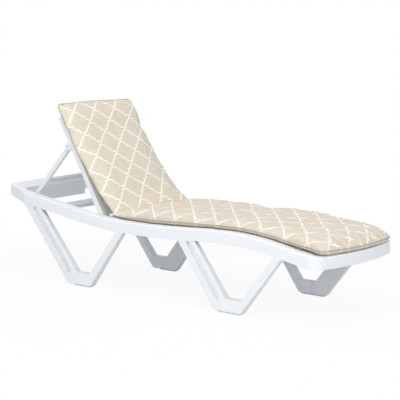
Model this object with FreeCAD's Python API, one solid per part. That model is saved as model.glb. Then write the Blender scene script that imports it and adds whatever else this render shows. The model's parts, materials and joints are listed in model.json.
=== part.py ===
import FreeCAD, Part
import math
import os

from FreeCAD import Vector

# Reclining sun lounger: a white moulded resin frame on four V-shaped legs, a backrest
# propped by a bail, and a loose three-section cushion. Millimetres, +Z up.
# X runs along the lounger, head end at -X and foot end at +X; Y runs across it.
# The origin is on the floor, under the middle of the lounger.

# ---------------------------------------------------------------- driving dimensions
# Frame
LENGTH = 1950.0            # overall, head end to foot end
WIDTH = 580.0              # over the two side rails
RAIL_HEIGHT = 54.0         # face height of a side rail
RAIL_WIDTH = 50.0          # width of a side rail, seen from above
RAIL_WALL = 5.0            # wall of the rail, an inverted channel
RAIL_EDGE_RADIUS = 6.0     # rounding of the rail's long top edges
RIB_SPACING = 96.0         # cross ribs inside the rail
RIB_WALL = 4.0
RIB_STEP = 3.0             # lower edge of a rail's rib above the rail's lower edge
# Height of the rail's top edge: the raised head, by distance from the head end ...
CREST_FROM_HEAD = [(-15.0, 438.0), (160.0, 414.0), (400.0, 381.0), (640.0, 350.0), (900.0, 340.0)]
# ... and the knee hump, by distance from the foot end
CREST_FROM_FOOT = [(790.0, 350.0), (560.0, 361.0), (350.0, 352.0), (190.0, 326.0), (70.0, 308.0),
                   (-15.0, 304.0)]
# Head end
HEAD_CUT_LENGTH = 158.0    # corner cut of the head end, along X
HEAD_CUT_WIDTH = 63.0      # and along Y
HEAD_PIECE_WIDTH = 92.0    # width of the head crosspiece, along X
HEAD_WEB_DEPTH = 80.0      # its inner web, measured down from the top
GUSSET = (24.0, 37.0)      # inner corner fill between rail and crosspiece, along X and Y
CORNER_RADIUS = 14.0
# Foot end
FOOT_PIECE_WIDTH = 76.0
FOOT_BOW = 27.0            # how far the middle of the foot end stands out
FOOT_CORNER = 60.0         # corner radius in plan
# Slats
SLAT_WIDTH = 88.0
SLAT_GAP = 12.0
SLAT_HEIGHT = 15.0
SLAT_WALL = 4.5
SLAT_DROP = 0.6            # top of a slat below the rail's top edge
SLAT_RADIUS = 4.0
BRACE_WIDTH = 65.0         # the single cross brace under the backrest
BRACE_FROM_HEAD = 345.0    # middle of the brace, from the head end
BRACE_DROP = 30.0
# Legs
BLOCK_WIDTH = 137.0        # foot of a leg, along X
LEG_DEPTH = 37.0           # at the floor, along Y
LEG_TOP_DEPTH = 25.0       # at the rail
LEG_WALL = 5.0
BROAD_ARM = 103.0          # horizontal width of the broad arm, on the left seen from outside
NARROW_ARM = 46.0
LEG_NOTCH_Z = 64.0         # height of the bottom of the V
HEAD_LEG_FROM_HEAD = 456.0 # head-side edge of the head legs at the floor, from the head end
FOOT_LEG_FROM_FOOT = 587.0 # head-side edge of the foot legs at the floor, from the foot end
LEG_STAGGER = 60.0         # how much nearer the foot end the left legs stand
HEAD_LEG_SLOPES = (0.829, 0.754)   # X run per unit of height, head-side and foot-side edge
FOOT_LEG_SLOPES = (0.749, 0.82)
GROOVE_WIDTH = 26.0        # long groove pressed into the broad arm
GROOVE_DEPTH = 12.0
GROOVE_ABOVE = 6.0         # lower end of the groove above the bottom of the V
GROOVE_BELOW = 14.0        # upper end below the rail
GROOVE_SHARE = 0.58        # its place across the broad arm, from the arm's inner edge
SEAM_WIDTH = 3.0           # upright line down the middle of the foot's inner side
SEAM_DEPTH = 1.5
DRAIN_RADIUS = 5.0         # hole under the foot, over the foot pad
LEG_EDGE_RADIUS = 3.0
ARM_OVERRUN = 30.0         # how far an arm runs up before the rail trims it
TENON_LENGTH = 44.0        # block on top of each arm that stands inside the rail
TENON_HEIGHT = 26.0
TENON_DEPTH = 22.5
TENON_GAP = 0.5            # tenon to the rail's outer wall
FOOT_PAD_HEIGHT = 7.0
FOOT_PAD_INSET = 14.0      # end of a foot pad from the leg's
FOOT_PAD_MARGIN = 3.0      # and its side
FOOT_PAD_RADIUS = 2.0
# Transport wheels in the head legs
WHEEL_RADIUS = 28.0
WHEEL_WIDTH = 20.0
WHEEL_LIFT = 1.5           # wheel above the floor while the lounger stands level
WHEEL_PROUD = 1.5          # wheel beyond the leg's rounded corner
AXLE_RADIUS = 4.0
WHEEL_INSET = 5.5          # wheel from the leg's inner side
WHEEL_ROOM = 2.0           # room round the wheel
WHEEL_EDGE_RADIUS = 3.0
CHEEK = (2.0, 4.5)         # plate that holds the axle: its faces, from the leg's inner side
AXLE_END = 1.5             # how far the axle stands in the leg's outer wall
# Backrest
REST_ANGLE = 59.4          # backrest from horizontal in its upper notch
HINGE_FROM_HEAD = 633.0    # hinge axis from the head end
HINGE_DROP = 23.0          # hinge axis below the rail's top edge
BACK_LENGTH = 534.0        # hinge axis to the top end
BACK_DEPTH = 28.0
BACK_EDGE_RADIUS = 4.0
BACK_PLAIN = 30.0          # stretch of rail beside the hinge whose edges stay sharp
BACK_RAIL_WIDTH = 40.0
BACK_TOP_WIDTH = 62.0
BACK_BOTTOM_WIDTH = 50.0
BACK_BOTTOM_GAP = 4.0      # bottom cross member beyond the rounded hinge end
BACK_SLAT_COUNT = 4
HINGE_RADIUS = 8.0
HINGE_HEAD = (4.0, 7.0)    # head of the pin: beyond its radius, and thick
BOSS_WALL = 6.0            # wall of the boss round the pin inside the rail
PIN_SEAT = 14.0            # how far the pin stands in the rail
BUSH_WALL = 3.0
BUSH_FLANGE = 3.0
BUSH_GAP = 0.3             # flange of the bush to the rail
# Bail
BAIL_PIVOT_ALONG = 394.0   # pivot from the hinge axis, along the backrest
BAIL_PIVOT_BEHIND = 16.0   # and behind its rear face
BAIL_LENGTH = 326.0        # pivot to foot
BAIL_WIDTH = 22.0
BAIL_DEPTH = 18.0
BAIL_CROSSBAR = (30.0, 14.0)
BAIL_CROSSBAR_AT = 0.76    # share of the arm's length, from the pivot
BAIL_PIN_RADIUS = 6.0
BAIL_HEAD = (3.0, 4.5)     # head of the bail pin: beyond its radius, and thick
BAIL_EDGE_RADIUS = 3.0
BAIL_GAP = 0.5             # arm to lug
LUG_WALL = 12.0
LUG_NOSE = 14.0            # radius of the lug round the pin
LUG_FOOT = 26.0            # length of the lug towards the hinge
LUG_PLAIN = 60.0           # stretch of rail beside the lug whose rear edges stay sharp
# Notch racks
NOTCH_PITCH = 26.0
NOTCH_DEPTH = 12.0
RACK_HEIGHT = 40.0
RACK_WALL = 12.5
# Cushion
PAD_MARGIN = 36.0          # cushion's side, in from the lounger's
PAD_THICKNESS = 50.0       # back and seat sections, at the crown
PAD_SIDE = 20.0            # height of the seam round their side
PAD_FOOT_THICKNESS = 44.0
PAD_FOOT_SIDE = 19.0
PAD_TUCK = 12.0            # how far the underside draws in below the seam
PAD_TOP_THICKNESS = 17.0   # back section at its top end
PAD_TOP_SIDE = 10.0
PAD_TOP_TAPER = 110.0      # length over which it thins to that
PAD_SHOULDER = 110.0       # width over which the top rises from the seam to the crown
PAD_BREAK = (0.3, 0.62)    # where that rise eases: share of its width, share of its height
PAD_END = 45.0             # length over which a section swells from its end
PAD_END_RISE = 0.3         # share of the crown's rise left at that end
PAD_CORNER = 12.0          # how far a section's ends draw in on each side
PAD_SPAN = 170.0           # longest straight stretch of a section over the curved rails
PAD_BACK_START = 4.0       # lower edge of the back section, from the hinge axis along the backrest
PAD_LEAVE = 0.755          # share of the backrest's length at which that section leaves it
PAD_LIFT = 40.0            # and how far it stands off the backrest at the hinge
PAD_FOOT_LENGTH = 677.0
PAD_FOOT_INSET = 12.0      # cushion's foot end short of the lounger's
PAD_CREASE = 4.0           # gap between the sections at a crease
PAD_OVERHANG = 56.0        # back section beyond the backrest's top end
HOOD_WALL = 5.0            # pocket of the cushion over the backrest's top rail
HOOD_DEPTH = 66.0          # how far it reaches down behind that rail
HOOD_SIDE = 8.0            # its sides, in from the backrest's side rails
# Clearances
BEYOND = 5.0               # how far a cutting shape reaches beyond what it cuts
RUNNING = 0.06             # radial, pin in its hole
SIDE_CLEARANCE = 3.0       # backrest to side rail
HEAD_GAP = 0.6             # head of a pin to what it holds
SOFT_GAP = 0.4             # cushion to what it lies on
RACK_DROP = 2.0            # top of the notch rack below the rail's top edge
OPEN_PIVOT_GAP = 0.3       # bail foot beside its notch rack

# ---------------------------------------------------------------- derived values
HALF_LENGTH = LENGTH / 2.0
HALF_WIDTH = WIDTH / 2.0
INNER = HALF_WIDTH - RAIL_WIDTH
HEAD_SPLIT = -HALF_LENGTH + HEAD_CUT_LENGTH
HEAD_INNER = -HALF_LENGTH + HEAD_PIECE_WIDTH
FOOT_SPLIT = HALF_LENGTH - FOOT_PIECE_WIDTH - FOOT_CORNER / 3.0
FOOT_INNER = HALF_LENGTH - FOOT_PIECE_WIDTH
HINGE_X = -HALF_LENGTH + HINGE_FROM_HEAD
BRACE_X = -HALF_LENGTH + BRACE_FROM_HEAD
HEAD_LEG_X = -HALF_LENGTH + HEAD_LEG_FROM_HEAD
FOOT_LEG_X = HALF_LENGTH - FOOT_LEG_FROM_FOOT
HIGHEST = max(z for _, z in CREST_FROM_HEAD)
Y_AXIS = Vector(0, 1, 0)
SIDES = (("right", -1.0), ("left", 1.0))

CREST = Part.BSplineCurve()
CREST.interpolate([Vector(x - HALF_LENGTH, 0, z) for x, z in CREST_FROM_HEAD]
                  + [Vector(HALF_LENGTH - x, 0, z) for x, z in CREST_FROM_FOOT])


def crest_parameter(x):
    """Curve parameter at which the rail's top edge passes x."""
    low = CREST.FirstParameter
    high = CREST.LastParameter
    for _ in range(60):
        middle = (low + high) / 2.0
        if CREST.value(middle).x < x:
            low = middle
        else:
            high = middle
    return (low + high) / 2.0


def top_at(x):
    """Height of the rail's top edge at x."""
    return CREST.value(crest_parameter(x)).z


def slope_at(x):
    """Angle of the rail's top edge at x, in degrees."""
    tangent = CREST.tangent(crest_parameter(x))[0]
    return math.degrees(math.atan2(tangent.z, tangent.x))


# ---------------------------------------------------------------- helpers
def polygon(points):
    return Part.makePolygon([Vector(*p) for p in points] + [Vector(*points[0])])


def prism_y(outline, y_from, y_to):
    """Solid with an outline of (x, z) points between two Y planes."""
    wire = polygon([(x, y_from, z) for x, z in outline])
    return Part.Face(wire).extrude(Vector(0, y_to - y_from, 0))


def band(x_from, x_to, drop_top, drop_bottom, y_from, y_to):
    """Solid that follows the rail's crest between two drops below it."""
    curve = CREST.toShape(crest_parameter(x_from), crest_parameter(x_to))
    upper = curve.translated(Vector(0, y_from, -drop_top))
    lower = curve.translated(Vector(0, y_from, -drop_bottom))
    start = Part.makeLine(lower.firstVertex().Point, upper.firstVertex().Point)
    end = Part.makeLine(upper.lastVertex().Point, lower.lastVertex().Point)
    wire = Part.Wire(Part.__sortEdges__([start, upper, end, lower]))
    return Part.Face(wire).extrude(Vector(0, y_to - y_from, 0))


def box(x, y, z):
    """Box from pairs of limits."""
    corner = Vector(x[0], y[0], z[0])
    return Part.makeBox(x[1] - x[0], y[1] - y[0], z[1] - z[0], corner)


def cylinder_y(x, z, radius, y_from, y_to):
    low, high = min(y_from, y_to), max(y_from, y_to)
    return Part.makeCylinder(radius, high - low, Vector(x, low, z), Y_AXIS)


def spread(sign, near, far):
    """Y limits of something that lies between two distances from the middle."""
    return (near, far) if sign > 0 else (-far, -near)


def fillet_where(solid, radius, test):
    """Round the edges that a test picks by their middle point and direction."""
    edges = []
    for edge in solid.Edges:
        middle = edge.valueAt((edge.FirstParameter + edge.LastParameter) / 2.0)
        tangent = edge.tangentAt((edge.FirstParameter + edge.LastParameter) / 2.0)
        if test(middle, tangent):
            edges.append(edge)
    return solid.makeFillet(radius, edges)


# ---------------------------------------------------------------- hinge and backrest frame
HINGE_Z = top_at(HINGE_X) - HINGE_DROP
BACK_OUTER = INNER - SIDE_CLEARANCE
BACK_INNER = BACK_OUTER - BACK_RAIL_WIDTH
BACK_BOTTOM_START = BACK_DEPTH / 2.0 + BACK_BOTTOM_GAP


def on_back(along, out):
    """Point of the backrest's side view: along it from the hinge, and out of its front."""
    angle = math.radians(REST_ANGLE)
    x = HINGE_X - along * math.cos(angle) + out * math.sin(angle)
    z = HINGE_Z + along * math.sin(angle) + out * math.cos(angle)
    return (x, z)


def back_block(along, out, y_limits):
    """Block of the backrest, given by its limits along, out and across."""
    corners = [(along[0], out[0]), (along[1], out[0]), (along[1], out[1]), (along[0], out[1])]
    return prism_y([on_back(a, o) for a, o in corners], y_limits[0], y_limits[1])


PIVOT = on_back(BAIL_PIVOT_ALONG, -BACK_DEPTH / 2.0 - BAIL_PIVOT_BEHIND)


def bail_foot():
    """Where the bail's foot meets the notch line: the rail's crest, a bail's length away."""
    low = PIVOT[0] - BAIL_LENGTH
    high = PIVOT[0]
    for _ in range(60):
        x = (low + high) / 2.0
        if math.hypot(x - PIVOT[0], top_at(x) - PIVOT[1]) > BAIL_LENGTH:
            low = x
        else:
            high = x
    return (x, top_at(x))


FOOT = bail_foot()


def on_bail(along, out):
    """Point of the bail's side view: along it from the pivot, and out towards the foot end."""
    ux = (FOOT[0] - PIVOT[0]) / BAIL_LENGTH
    uz = (FOOT[1] - PIVOT[1]) / BAIL_LENGTH
    return (PIVOT[0] + along * ux - out * uz, PIVOT[1] + along * uz + out * ux)


# ---------------------------------------------------------------- legs: their lines
def leg_lines(end, sign):
    """Edges of a leg in side view, as functions of height."""
    foot_x = HEAD_LEG_X if end == "head" else FOOT_LEG_X
    if sign > 0:
        foot_x = foot_x + LEG_STAGGER
    slopes = HEAD_LEG_SLOPES if end == "head" else FOOT_LEG_SLOPES
    low_arm = BROAD_ARM if sign < 0 else NARROW_ARM
    high_arm = NARROW_ARM if sign < 0 else BROAD_ARM

    def low_outer(z):
        return foot_x - slopes[0] * z

    def high_outer(z):
        return foot_x + BLOCK_WIDTH + slopes[1] * z

    def low_inner(z):
        return low_outer(z) + low_arm

    def high_inner(z):
        return high_outer(z) - high_arm

    return low_outer, low_inner, high_inner, high_outer


def meet_rail(line, drop):
    """Point where a leg's edge meets the level a given drop below the rail's crest."""
    z = HIGHEST
    for _ in range(40):
        z = top_at(line(z)) - drop
    return (line(z), z)


def tenon_spots(end, sign):
    """Middle X of the two blocks that stand inside the rail above a leg's arms."""
    low_outer, low_inner, high_inner, high_outer = leg_lines(end, sign)
    spots = []
    for first, second in ((low_outer, low_inner), (high_inner, high_outer)):
        a = meet_rail(first, RAIL_HEIGHT)[0]
        b = meet_rail(second, RAIL_HEIGHT)[0]
        spots.append(max((a + b) / 2.0, HEAD_SPLIT + RAIL_WALL + TENON_LENGTH / 2.0 + 2.0))
    return spots


# ---------------------------------------------------------------- frame pieces
def side_rail(sign):
    """Inverted channel along one side, ribbed inside, with a boss for the hinge pin."""
    y = spread(sign, INNER, HALF_WIDTH)
    rail = band(HEAD_SPLIT, FOOT_SPLIT, 0.0, RAIL_HEIGHT, y[0], y[1])
    rail = fillet_where(rail, RAIL_EDGE_RADIUS, lambda p, t: p.z > top_at(p.x) - 1.0 and abs(t.x) > 0.8)
    hollow_y = spread(sign, INNER + RAIL_WALL, HALF_WIDTH - RAIL_WALL)
    hollow = band(HEAD_SPLIT + RAIL_WALL, FOOT_SPLIT - RAIL_WALL, RAIL_WALL + 1.0,
                  2.0 * RAIL_HEIGHT, hollow_y[0], hollow_y[1])
    keep_clear = tenon_spots("head", sign) + tenon_spots("foot", sign)
    count = int((FOOT_SPLIT - HEAD_SPLIT) / RIB_SPACING)
    pitch = (FOOT_SPLIT - HEAD_SPLIT) / count
    for i in range(1, count):
        x = HEAD_SPLIT + i * pitch
        if min(abs(x - spot) for spot in keep_clear) < TENON_LENGTH / 2.0 + RIB_WALL:
            continue
        z = top_at(x) - RAIL_HEIGHT
        rib = box((x - RIB_WALL / 2.0, x + RIB_WALL / 2.0), hollow_y, (z + RIB_STEP, z + RAIL_HEIGHT))
        hollow = hollow.cut(rib)
    boss_y = spread(sign, INNER, INNER + PIN_SEAT + RAIL_WALL)
    hollow = hollow.cut(cylinder_y(HINGE_X, HINGE_Z, HINGE_RADIUS + BOSS_WALL, boss_y[0], boss_y[1]))
    rail = rail.cut(hollow)
    pin_y = spread(sign, INNER - 1.0, INNER + PIN_SEAT)
    return rail.cut(cylinder_y(HINGE_X, HINGE_Z, HINGE_RADIUS + RUNNING, pin_y[0], pin_y[1]))


def head_plan(inset):
    """Plan of the head end, shrunk by an inset all round."""
    y_end = HALF_WIDTH - HEAD_CUT_WIDTH
    half = [(HEAD_SPLIT, INNER), (HEAD_SPLIT, HALF_WIDTH), (-HALF_LENGTH, y_end)]
    inner = [(HEAD_INNER, INNER - GUSSET[1]), (HEAD_INNER + GUSSET[0], INNER)]
    outline = [(x, -y) for x, y in half] + [(x, y) for x, y in reversed(half)]
    outline += [(x, y) for x, y in reversed(inner)] + [(x, -y) for x, y in inner]
    if not inset:
        return Part.Face(polygon([(x, y, 0.0) for x, y in outline]))
    wire = polygon([(x, y, 0.0) for x, y in outline])
    return Part.Face(wire.makeOffset2D(-inset, 2, False, False, True))


def raised(face, z_from, z_to):
    return face.translated(Vector(0, 0, z_from)).extrude(Vector(0, 0, z_to - z_from))


def head_end():
    """Head crosspiece with its cut corners, hollow underneath, and its deep inner web."""
    z_from = top_at(HEAD_SPLIT) - 2.0 * RAIL_HEIGHT
    z_to = HIGHEST + RAIL_HEIGHT
    piece = raised(head_plan(0.0), z_from, z_to)
    piece = fillet_where(piece, CORNER_RADIUS,
                         lambda p, t: abs(t.z) > 0.9 and p.x < -HALF_LENGTH + 1.0)
    level = band(-HALF_LENGTH - BEYOND, HEAD_SPLIT, 0.0, RAIL_HEIGHT,
                 -HALF_WIDTH - BEYOND, HALF_WIDTH + BEYOND)
    piece = piece.common(level)
    piece = fillet_where(piece, RAIL_EDGE_RADIUS - 1.0,
                         lambda p, t: p.z > top_at(p.x) - 0.5 and p.x < HEAD_SPLIT - 1.0)
    lower = band(-HALF_LENGTH - BEYOND, HEAD_SPLIT, RAIL_WALL + 1.0, 2.0 * RAIL_HEIGHT,
                 -HALF_WIDTH - BEYOND, HALF_WIDTH + BEYOND)
    hollow = raised(head_plan(RAIL_WALL), z_from, z_to).common(lower)
    web_x = (HEAD_INNER - RAIL_WALL, HEAD_INNER)
    for i in range(-2, 3):
        y = i * (INNER - GUSSET[1]) / 2.5
        rib = box((-HALF_LENGTH, HEAD_INNER), (y - RIB_WALL / 2.0, y + RIB_WALL / 2.0), (z_from, z_to))
        hollow = hollow.cut(rib)
    piece = piece.cut(hollow)
    top = top_at(HEAD_INNER)
    web = box(web_x, (GUSSET[1] - INNER, INNER - GUSSET[1]), (top - HEAD_WEB_DEPTH, top - 2.0 * RAIL_WALL))
    return piece.fuse(web).removeSplitter()


def foot_plan(inset):
    """Plan of the foot end: square to the rails, rounded corners, gently bowed end."""
    w = HALF_WIDTH - inset
    corner_x = HALF_LENGTH - FOOT_BOW - inset
    r = FOOT_CORNER - inset
    split = FOOT_SPLIT + inset
    inner = FOOT_INNER + inset
    low = INNER + inset
    edges = []
    for sign in (-1.0, 1.0):
        a = Vector(split, sign * w, 0)
        b = Vector(corner_x - r, sign * w, 0)
        c = Vector(corner_x, sign * (w - r), 0)
        bulge = r * (1.0 - math.sqrt(0.5))
        mid = Vector(corner_x - bulge, sign * (w - bulge), 0)
        edges += [Part.makeLine(a, b), Part.Arc(b, mid, c).toShape()]
        edges.append(Part.makeLine(a, Vector(split, sign * low, 0)))
        if not inset:
            edges.append(Part.makeLine(Vector(split, sign * low, 0), Vector(inner, sign * low, 0)))
    ends = [Vector(corner_x, sign * (w - r), 0) for sign in (-1.0, 1.0)]
    edges.append(Part.Arc(ends[0], Vector(HALF_LENGTH - inset, 0, 0), ends[1]).toShape())
    if inset:
        for sign in (-1.0, 1.0):
            edges.append(Part.makeLine(Vector(split, sign * low, 0), Vector(inner, sign * low, 0)))
    edges.append(Part.makeLine(Vector(inner, -low, 0), Vector(inner, low, 0)))
    return Part.Face(Part.Wire(Part.__sortEdges__(edges)))


def foot_end():
    """Foot crosspiece, hollow underneath, joining the two side rails."""
    z_from = top_at(FOOT_SPLIT) - 2.0 * RAIL_HEIGHT
    z_to = top_at(FOOT_SPLIT) + RAIL_HEIGHT
    level = band(FOOT_SPLIT, HALF_LENGTH + BEYOND, 0.0, RAIL_HEIGHT,
                 -HALF_WIDTH - BEYOND, HALF_WIDTH + BEYOND)
    piece = raised(foot_plan(0.0), z_from, z_to).common(level)
    piece = fillet_where(piece, RAIL_EDGE_RADIUS - 1.0,
                         lambda p, t: p.z > top_at(p.x) - 0.5 and p.x > FOOT_SPLIT + 1.0)
    lower = band(FOOT_SPLIT, HALF_LENGTH + BEYOND, RAIL_WALL + 1.0, 2.0 * RAIL_HEIGHT,
                 -HALF_WIDTH - BEYOND, HALF_WIDTH + BEYOND)
    hollow = raised(foot_plan(RAIL_WALL), z_from, z_to).common(lower)
    for i in range(-2, 3):
        y = i * INNER / 2.5
        rib = box((FOOT_INNER, HALF_LENGTH), (y - RIB_WALL / 2.0, y + RIB_WALL / 2.0), (z_from, z_to))
        hollow = hollow.cut(rib)
    return piece.cut(hollow)


def slat_section(width):
    """Slat lying flat at the origin: rounded top edges, hollow underneath."""
    slat = box((-width / 2.0, width / 2.0), (-INNER, INNER), (-SLAT_HEIGHT, 0.0))
    slat = fillet_where(slat, SLAT_RADIUS, lambda p, t: p.z > -1.0 and abs(t.y) > 0.9)
    hollow = box((SLAT_WALL - width / 2.0, width / 2.0 - SLAT_WALL),
                 (SLAT_WALL - INNER, INNER - SLAT_WALL), (-SLAT_HEIGHT - 1.0, -SLAT_WALL))
    middle = box((-width / 2.0, width / 2.0), (-SLAT_WALL / 2.0, SLAT_WALL / 2.0), (-SLAT_HEIGHT, 0.0))
    return slat.cut(hollow.cut(middle))


def place_slat(slat, x, drop):
    """Turn a slat to the rail's slope and set it a drop below the crest at x."""
    placed = slat.copy()
    placed.rotate(Vector(0, 0, 0), Y_AXIS, -slope_at(x))
    placed.translate(Vector(x, 0, top_at(x) - drop))
    return placed


def slat_positions():
    """Middles of the seat slats, from the hinge side to the foot crosspiece."""
    last = FOOT_INNER - SLAT_GAP - SLAT_WIDTH / 2.0
    first = HINGE_X + BACK_DEPTH / 2.0 + SLAT_GAP + SLAT_WIDTH / 2.0
    count = int((last - first) / (SLAT_WIDTH + SLAT_GAP)) + 1
    return [last - i * (SLAT_WIDTH + SLAT_GAP) for i in reversed(range(count))]


def notch_rack(sign):
    """Toothed plate on the inside of a rail, in which the bail's foot would drop."""
    y = spread(sign, INNER - RACK_WALL, INNER)
    head_x = HEAD_INNER + GUSSET[0]
    foot_x = FOOT[0] + 0.8 * NOTCH_PITCH
    rack = band(head_x, foot_x, RACK_DROP, RACK_HEIGHT, y[0], y[1])
    count = int((FOOT[0] - BAIL_WIDTH / 2.0 - head_x) / NOTCH_PITCH) + 1
    for i in range(count):
        x = FOOT[0] - i * NOTCH_PITCH
        z = top_at(x) - NOTCH_DEPTH + BAIL_WIDTH / 2.0
        rack = rack.cut(cylinder_y(x, z, BAIL_WIDTH / 2.0, y[0] - 1.0, y[1] + 1.0))
    return rack


# ---------------------------------------------------------------- legs
# The rounded corner of a head leg touches both the floor line and the leg's sloping edge.
CORNER = WHEEL_RADIUS - WHEEL_PROUD
EDGE_RUN = math.hypot(1.0, HEAD_LEG_SLOPES[0])
WHEEL_Z = WHEEL_RADIUS + WHEEL_LIFT
CORNER_TOP = WHEEL_Z - CORNER * HEAD_LEG_SLOPES[0] / EDGE_RUN


def wheel_x(sign):
    """Middle of the wheel on one side."""
    return leg_lines("head", sign)[0](WHEEL_Z) + CORNER * EDGE_RUN


def leg(end, sign):
    """V-shaped leg: a closed shell, deeper at the floor than at the rail."""
    low_outer, low_inner, high_inner, high_outer = leg_lines(end, sign)
    a = meet_rail(low_outer, RAIL_HEIGHT)
    b = meet_rail(low_inner, RAIL_HEIGHT)
    c = meet_rail(high_inner, RAIL_HEIGHT)
    d = meet_rail(high_outer, RAIL_HEIGHT)
    z0 = FOOT_PAD_HEIGHT
    outline = [(low_outer(z0), z0), (high_outer(z0), z0), d, c,
               (high_inner(LEG_NOTCH_Z), LEG_NOTCH_Z), (low_inner(LEG_NOTCH_Z), LEG_NOTCH_Z), b, a]
    tall = [(low_outer(z0), z0), (high_outer(z0), z0), (high_outer(d[1] + ARM_OVERRUN), d[1] + ARM_OVERRUN),
            (high_inner(c[1] + ARM_OVERRUN), c[1] + ARM_OVERRUN), (high_inner(LEG_NOTCH_Z), LEG_NOTCH_Z),
            (low_inner(LEG_NOTCH_Z), LEG_NOTCH_Z), (low_inner(b[1] + ARM_OVERRUN), b[1] + ARM_OVERRUN),
            (low_outer(a[1] + ARM_OVERRUN), a[1] + ARM_OVERRUN)]
    y = spread(sign, HALF_WIDTH - LEG_DEPTH, HALF_WIDTH)
    body = prism_y(tall, y[0], y[1])
    under_rail = band(-HALF_LENGTH - BEYOND, HALF_LENGTH + BEYOND, RAIL_HEIGHT, 2.0 * HALF_WIDTH,
                      y[0] - BEYOND, y[1] + BEYOND)
    body = body.common(under_rail)
    rail_z = a[1]
    body = body.cut(inner_side(sign, rail_z, 0.0))
    body = fillet_where(body, LEG_EDGE_RADIUS, lambda p, t: abs(abs(p.y) - HALF_WIDTH) < 0.01
                        and z0 + 1.0 < p.z < top_at(p.x) - RAIL_HEIGHT - 1.0)
    body = body.cut(leg_hollow(outline, sign, end, rail_z))
    body = body.cut(leg_groove(end, sign))
    body = body.cut(leg_seam(end, sign, rail_z))
    if end == "head":
        body = cut_for_wheel(body, sign)
    return add_tenons(body, end, sign).removeSplitter()


def inner_side(sign, rail_z, inset):
    """Everything on the middle's side of a plane that slopes outwards as it rises."""
    near = HALF_WIDTH - LEG_DEPTH + inset
    middle = near - LEG_DEPTH
    rise = rail_z + 4.0 * ARM_OVERRUN
    top = near + (LEG_DEPTH - LEG_TOP_DEPTH) * rise / rail_z
    x = -2.0 * HALF_LENGTH
    face = Part.Face(polygon([(x, sign * middle, 0.0), (x, sign * near, 0.0),
                              (x, sign * top, rise), (x, sign * middle, rise)]))
    return face.extrude(Vector(4.0 * HALF_LENGTH, 0, 0))


def leg_hollow(outline, sign, end, rail_z):
    """Inside of the shell, with the groove's back left standing and a drain hole under the foot."""
    wire = polygon([(x, 0.0, z) for x, z in outline])
    shrunk = wire.makeOffset2D(-LEG_WALL, 2, False, False, True)
    deep = spread(sign, HALF_WIDTH - LEG_DEPTH, HALF_WIDTH - LEG_WALL)
    hollow = Part.Face(shrunk).translated(Vector(0, deep[0], 0)).extrude(Vector(0, deep[1] - deep[0], 0))
    hollow = hollow.cut(inner_side(sign, rail_z, LEG_WALL))
    back_y = spread(sign, HALF_WIDTH - LEG_WALL - GROOVE_DEPTH - 1.0, HALF_WIDTH)
    hollow = hollow.cut(groove_shape(end, sign, GROOVE_WIDTH + 2.0 * RIB_WALL, back_y))
    drain = Part.makeCylinder(DRAIN_RADIUS, 3.0 * LEG_WALL,
                              Vector(foot_middle(end, sign), sign * (HALF_WIDTH - LEG_DEPTH / 2.0), 0.0))
    return hollow.fuse(drain)


def foot_middle(end, sign):
    """Middle X of a leg's foot."""
    low_outer, low_inner, high_inner, high_outer = leg_lines(end, sign)
    return (low_outer(LEG_NOTCH_Z / 2.0) + high_outer(LEG_NOTCH_Z / 2.0)) / 2.0


def leg_seam(end, sign, rail_z):
    """Shallow upright line where the halves of the foot meet."""
    x = foot_middle(end, sign)
    y = spread(sign, HALF_WIDTH - LEG_DEPTH - BEYOND, HALF_WIDTH - LEG_WALL)
    slot = box((x - SEAM_WIDTH / 2.0, x + SEAM_WIDTH / 2.0), y, (0.0, LEG_NOTCH_Z + BEYOND))
    return slot.common(inner_side(sign, rail_z, SEAM_DEPTH))


def groove_shape(end, sign, width, y_limits):
    """Long slot with a rounded lower end along the middle of the broad arm."""
    low_outer, low_inner, high_inner, high_outer = leg_lines(end, sign)
    first, second = (low_outer, low_inner) if sign < 0 else (high_inner, high_outer)

    def middle(z):
        share = GROOVE_SHARE if sign < 0 else 1.0 - GROOVE_SHARE
        return (1.0 - share) * first(z) + share * second(z)

    z_low = LEG_NOTCH_Z + GROOVE_ABOVE
    z_high = meet_rail(middle, RAIL_HEIGHT)[1] - GROOVE_BELOW
    low = Vector(middle(z_low), y_limits[0], z_low)
    high = Vector(middle(z_high), y_limits[0], z_high)
    along = (high - low).normalize()
    side = Vector(along.z, 0, -along.x) * (width / 2.0)
    edges = [Part.makeLine(low + side, high + side),
             Part.Arc(high + side, high + along * (width / 2.0), high - side).toShape(),
             Part.makeLine(high - side, low - side),
             Part.Arc(low - side, low - along * (width / 2.0), low + side).toShape()]
    return Part.Face(Part.Wire(edges)).extrude(Vector(0, y_limits[1] - y_limits[0], 0))


def leg_groove(end, sign):
    y = spread(sign, HALF_WIDTH - GROOVE_DEPTH, HALF_WIDTH + 1.0)
    return groove_shape(end, sign, GROOVE_WIDTH, y)


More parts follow.
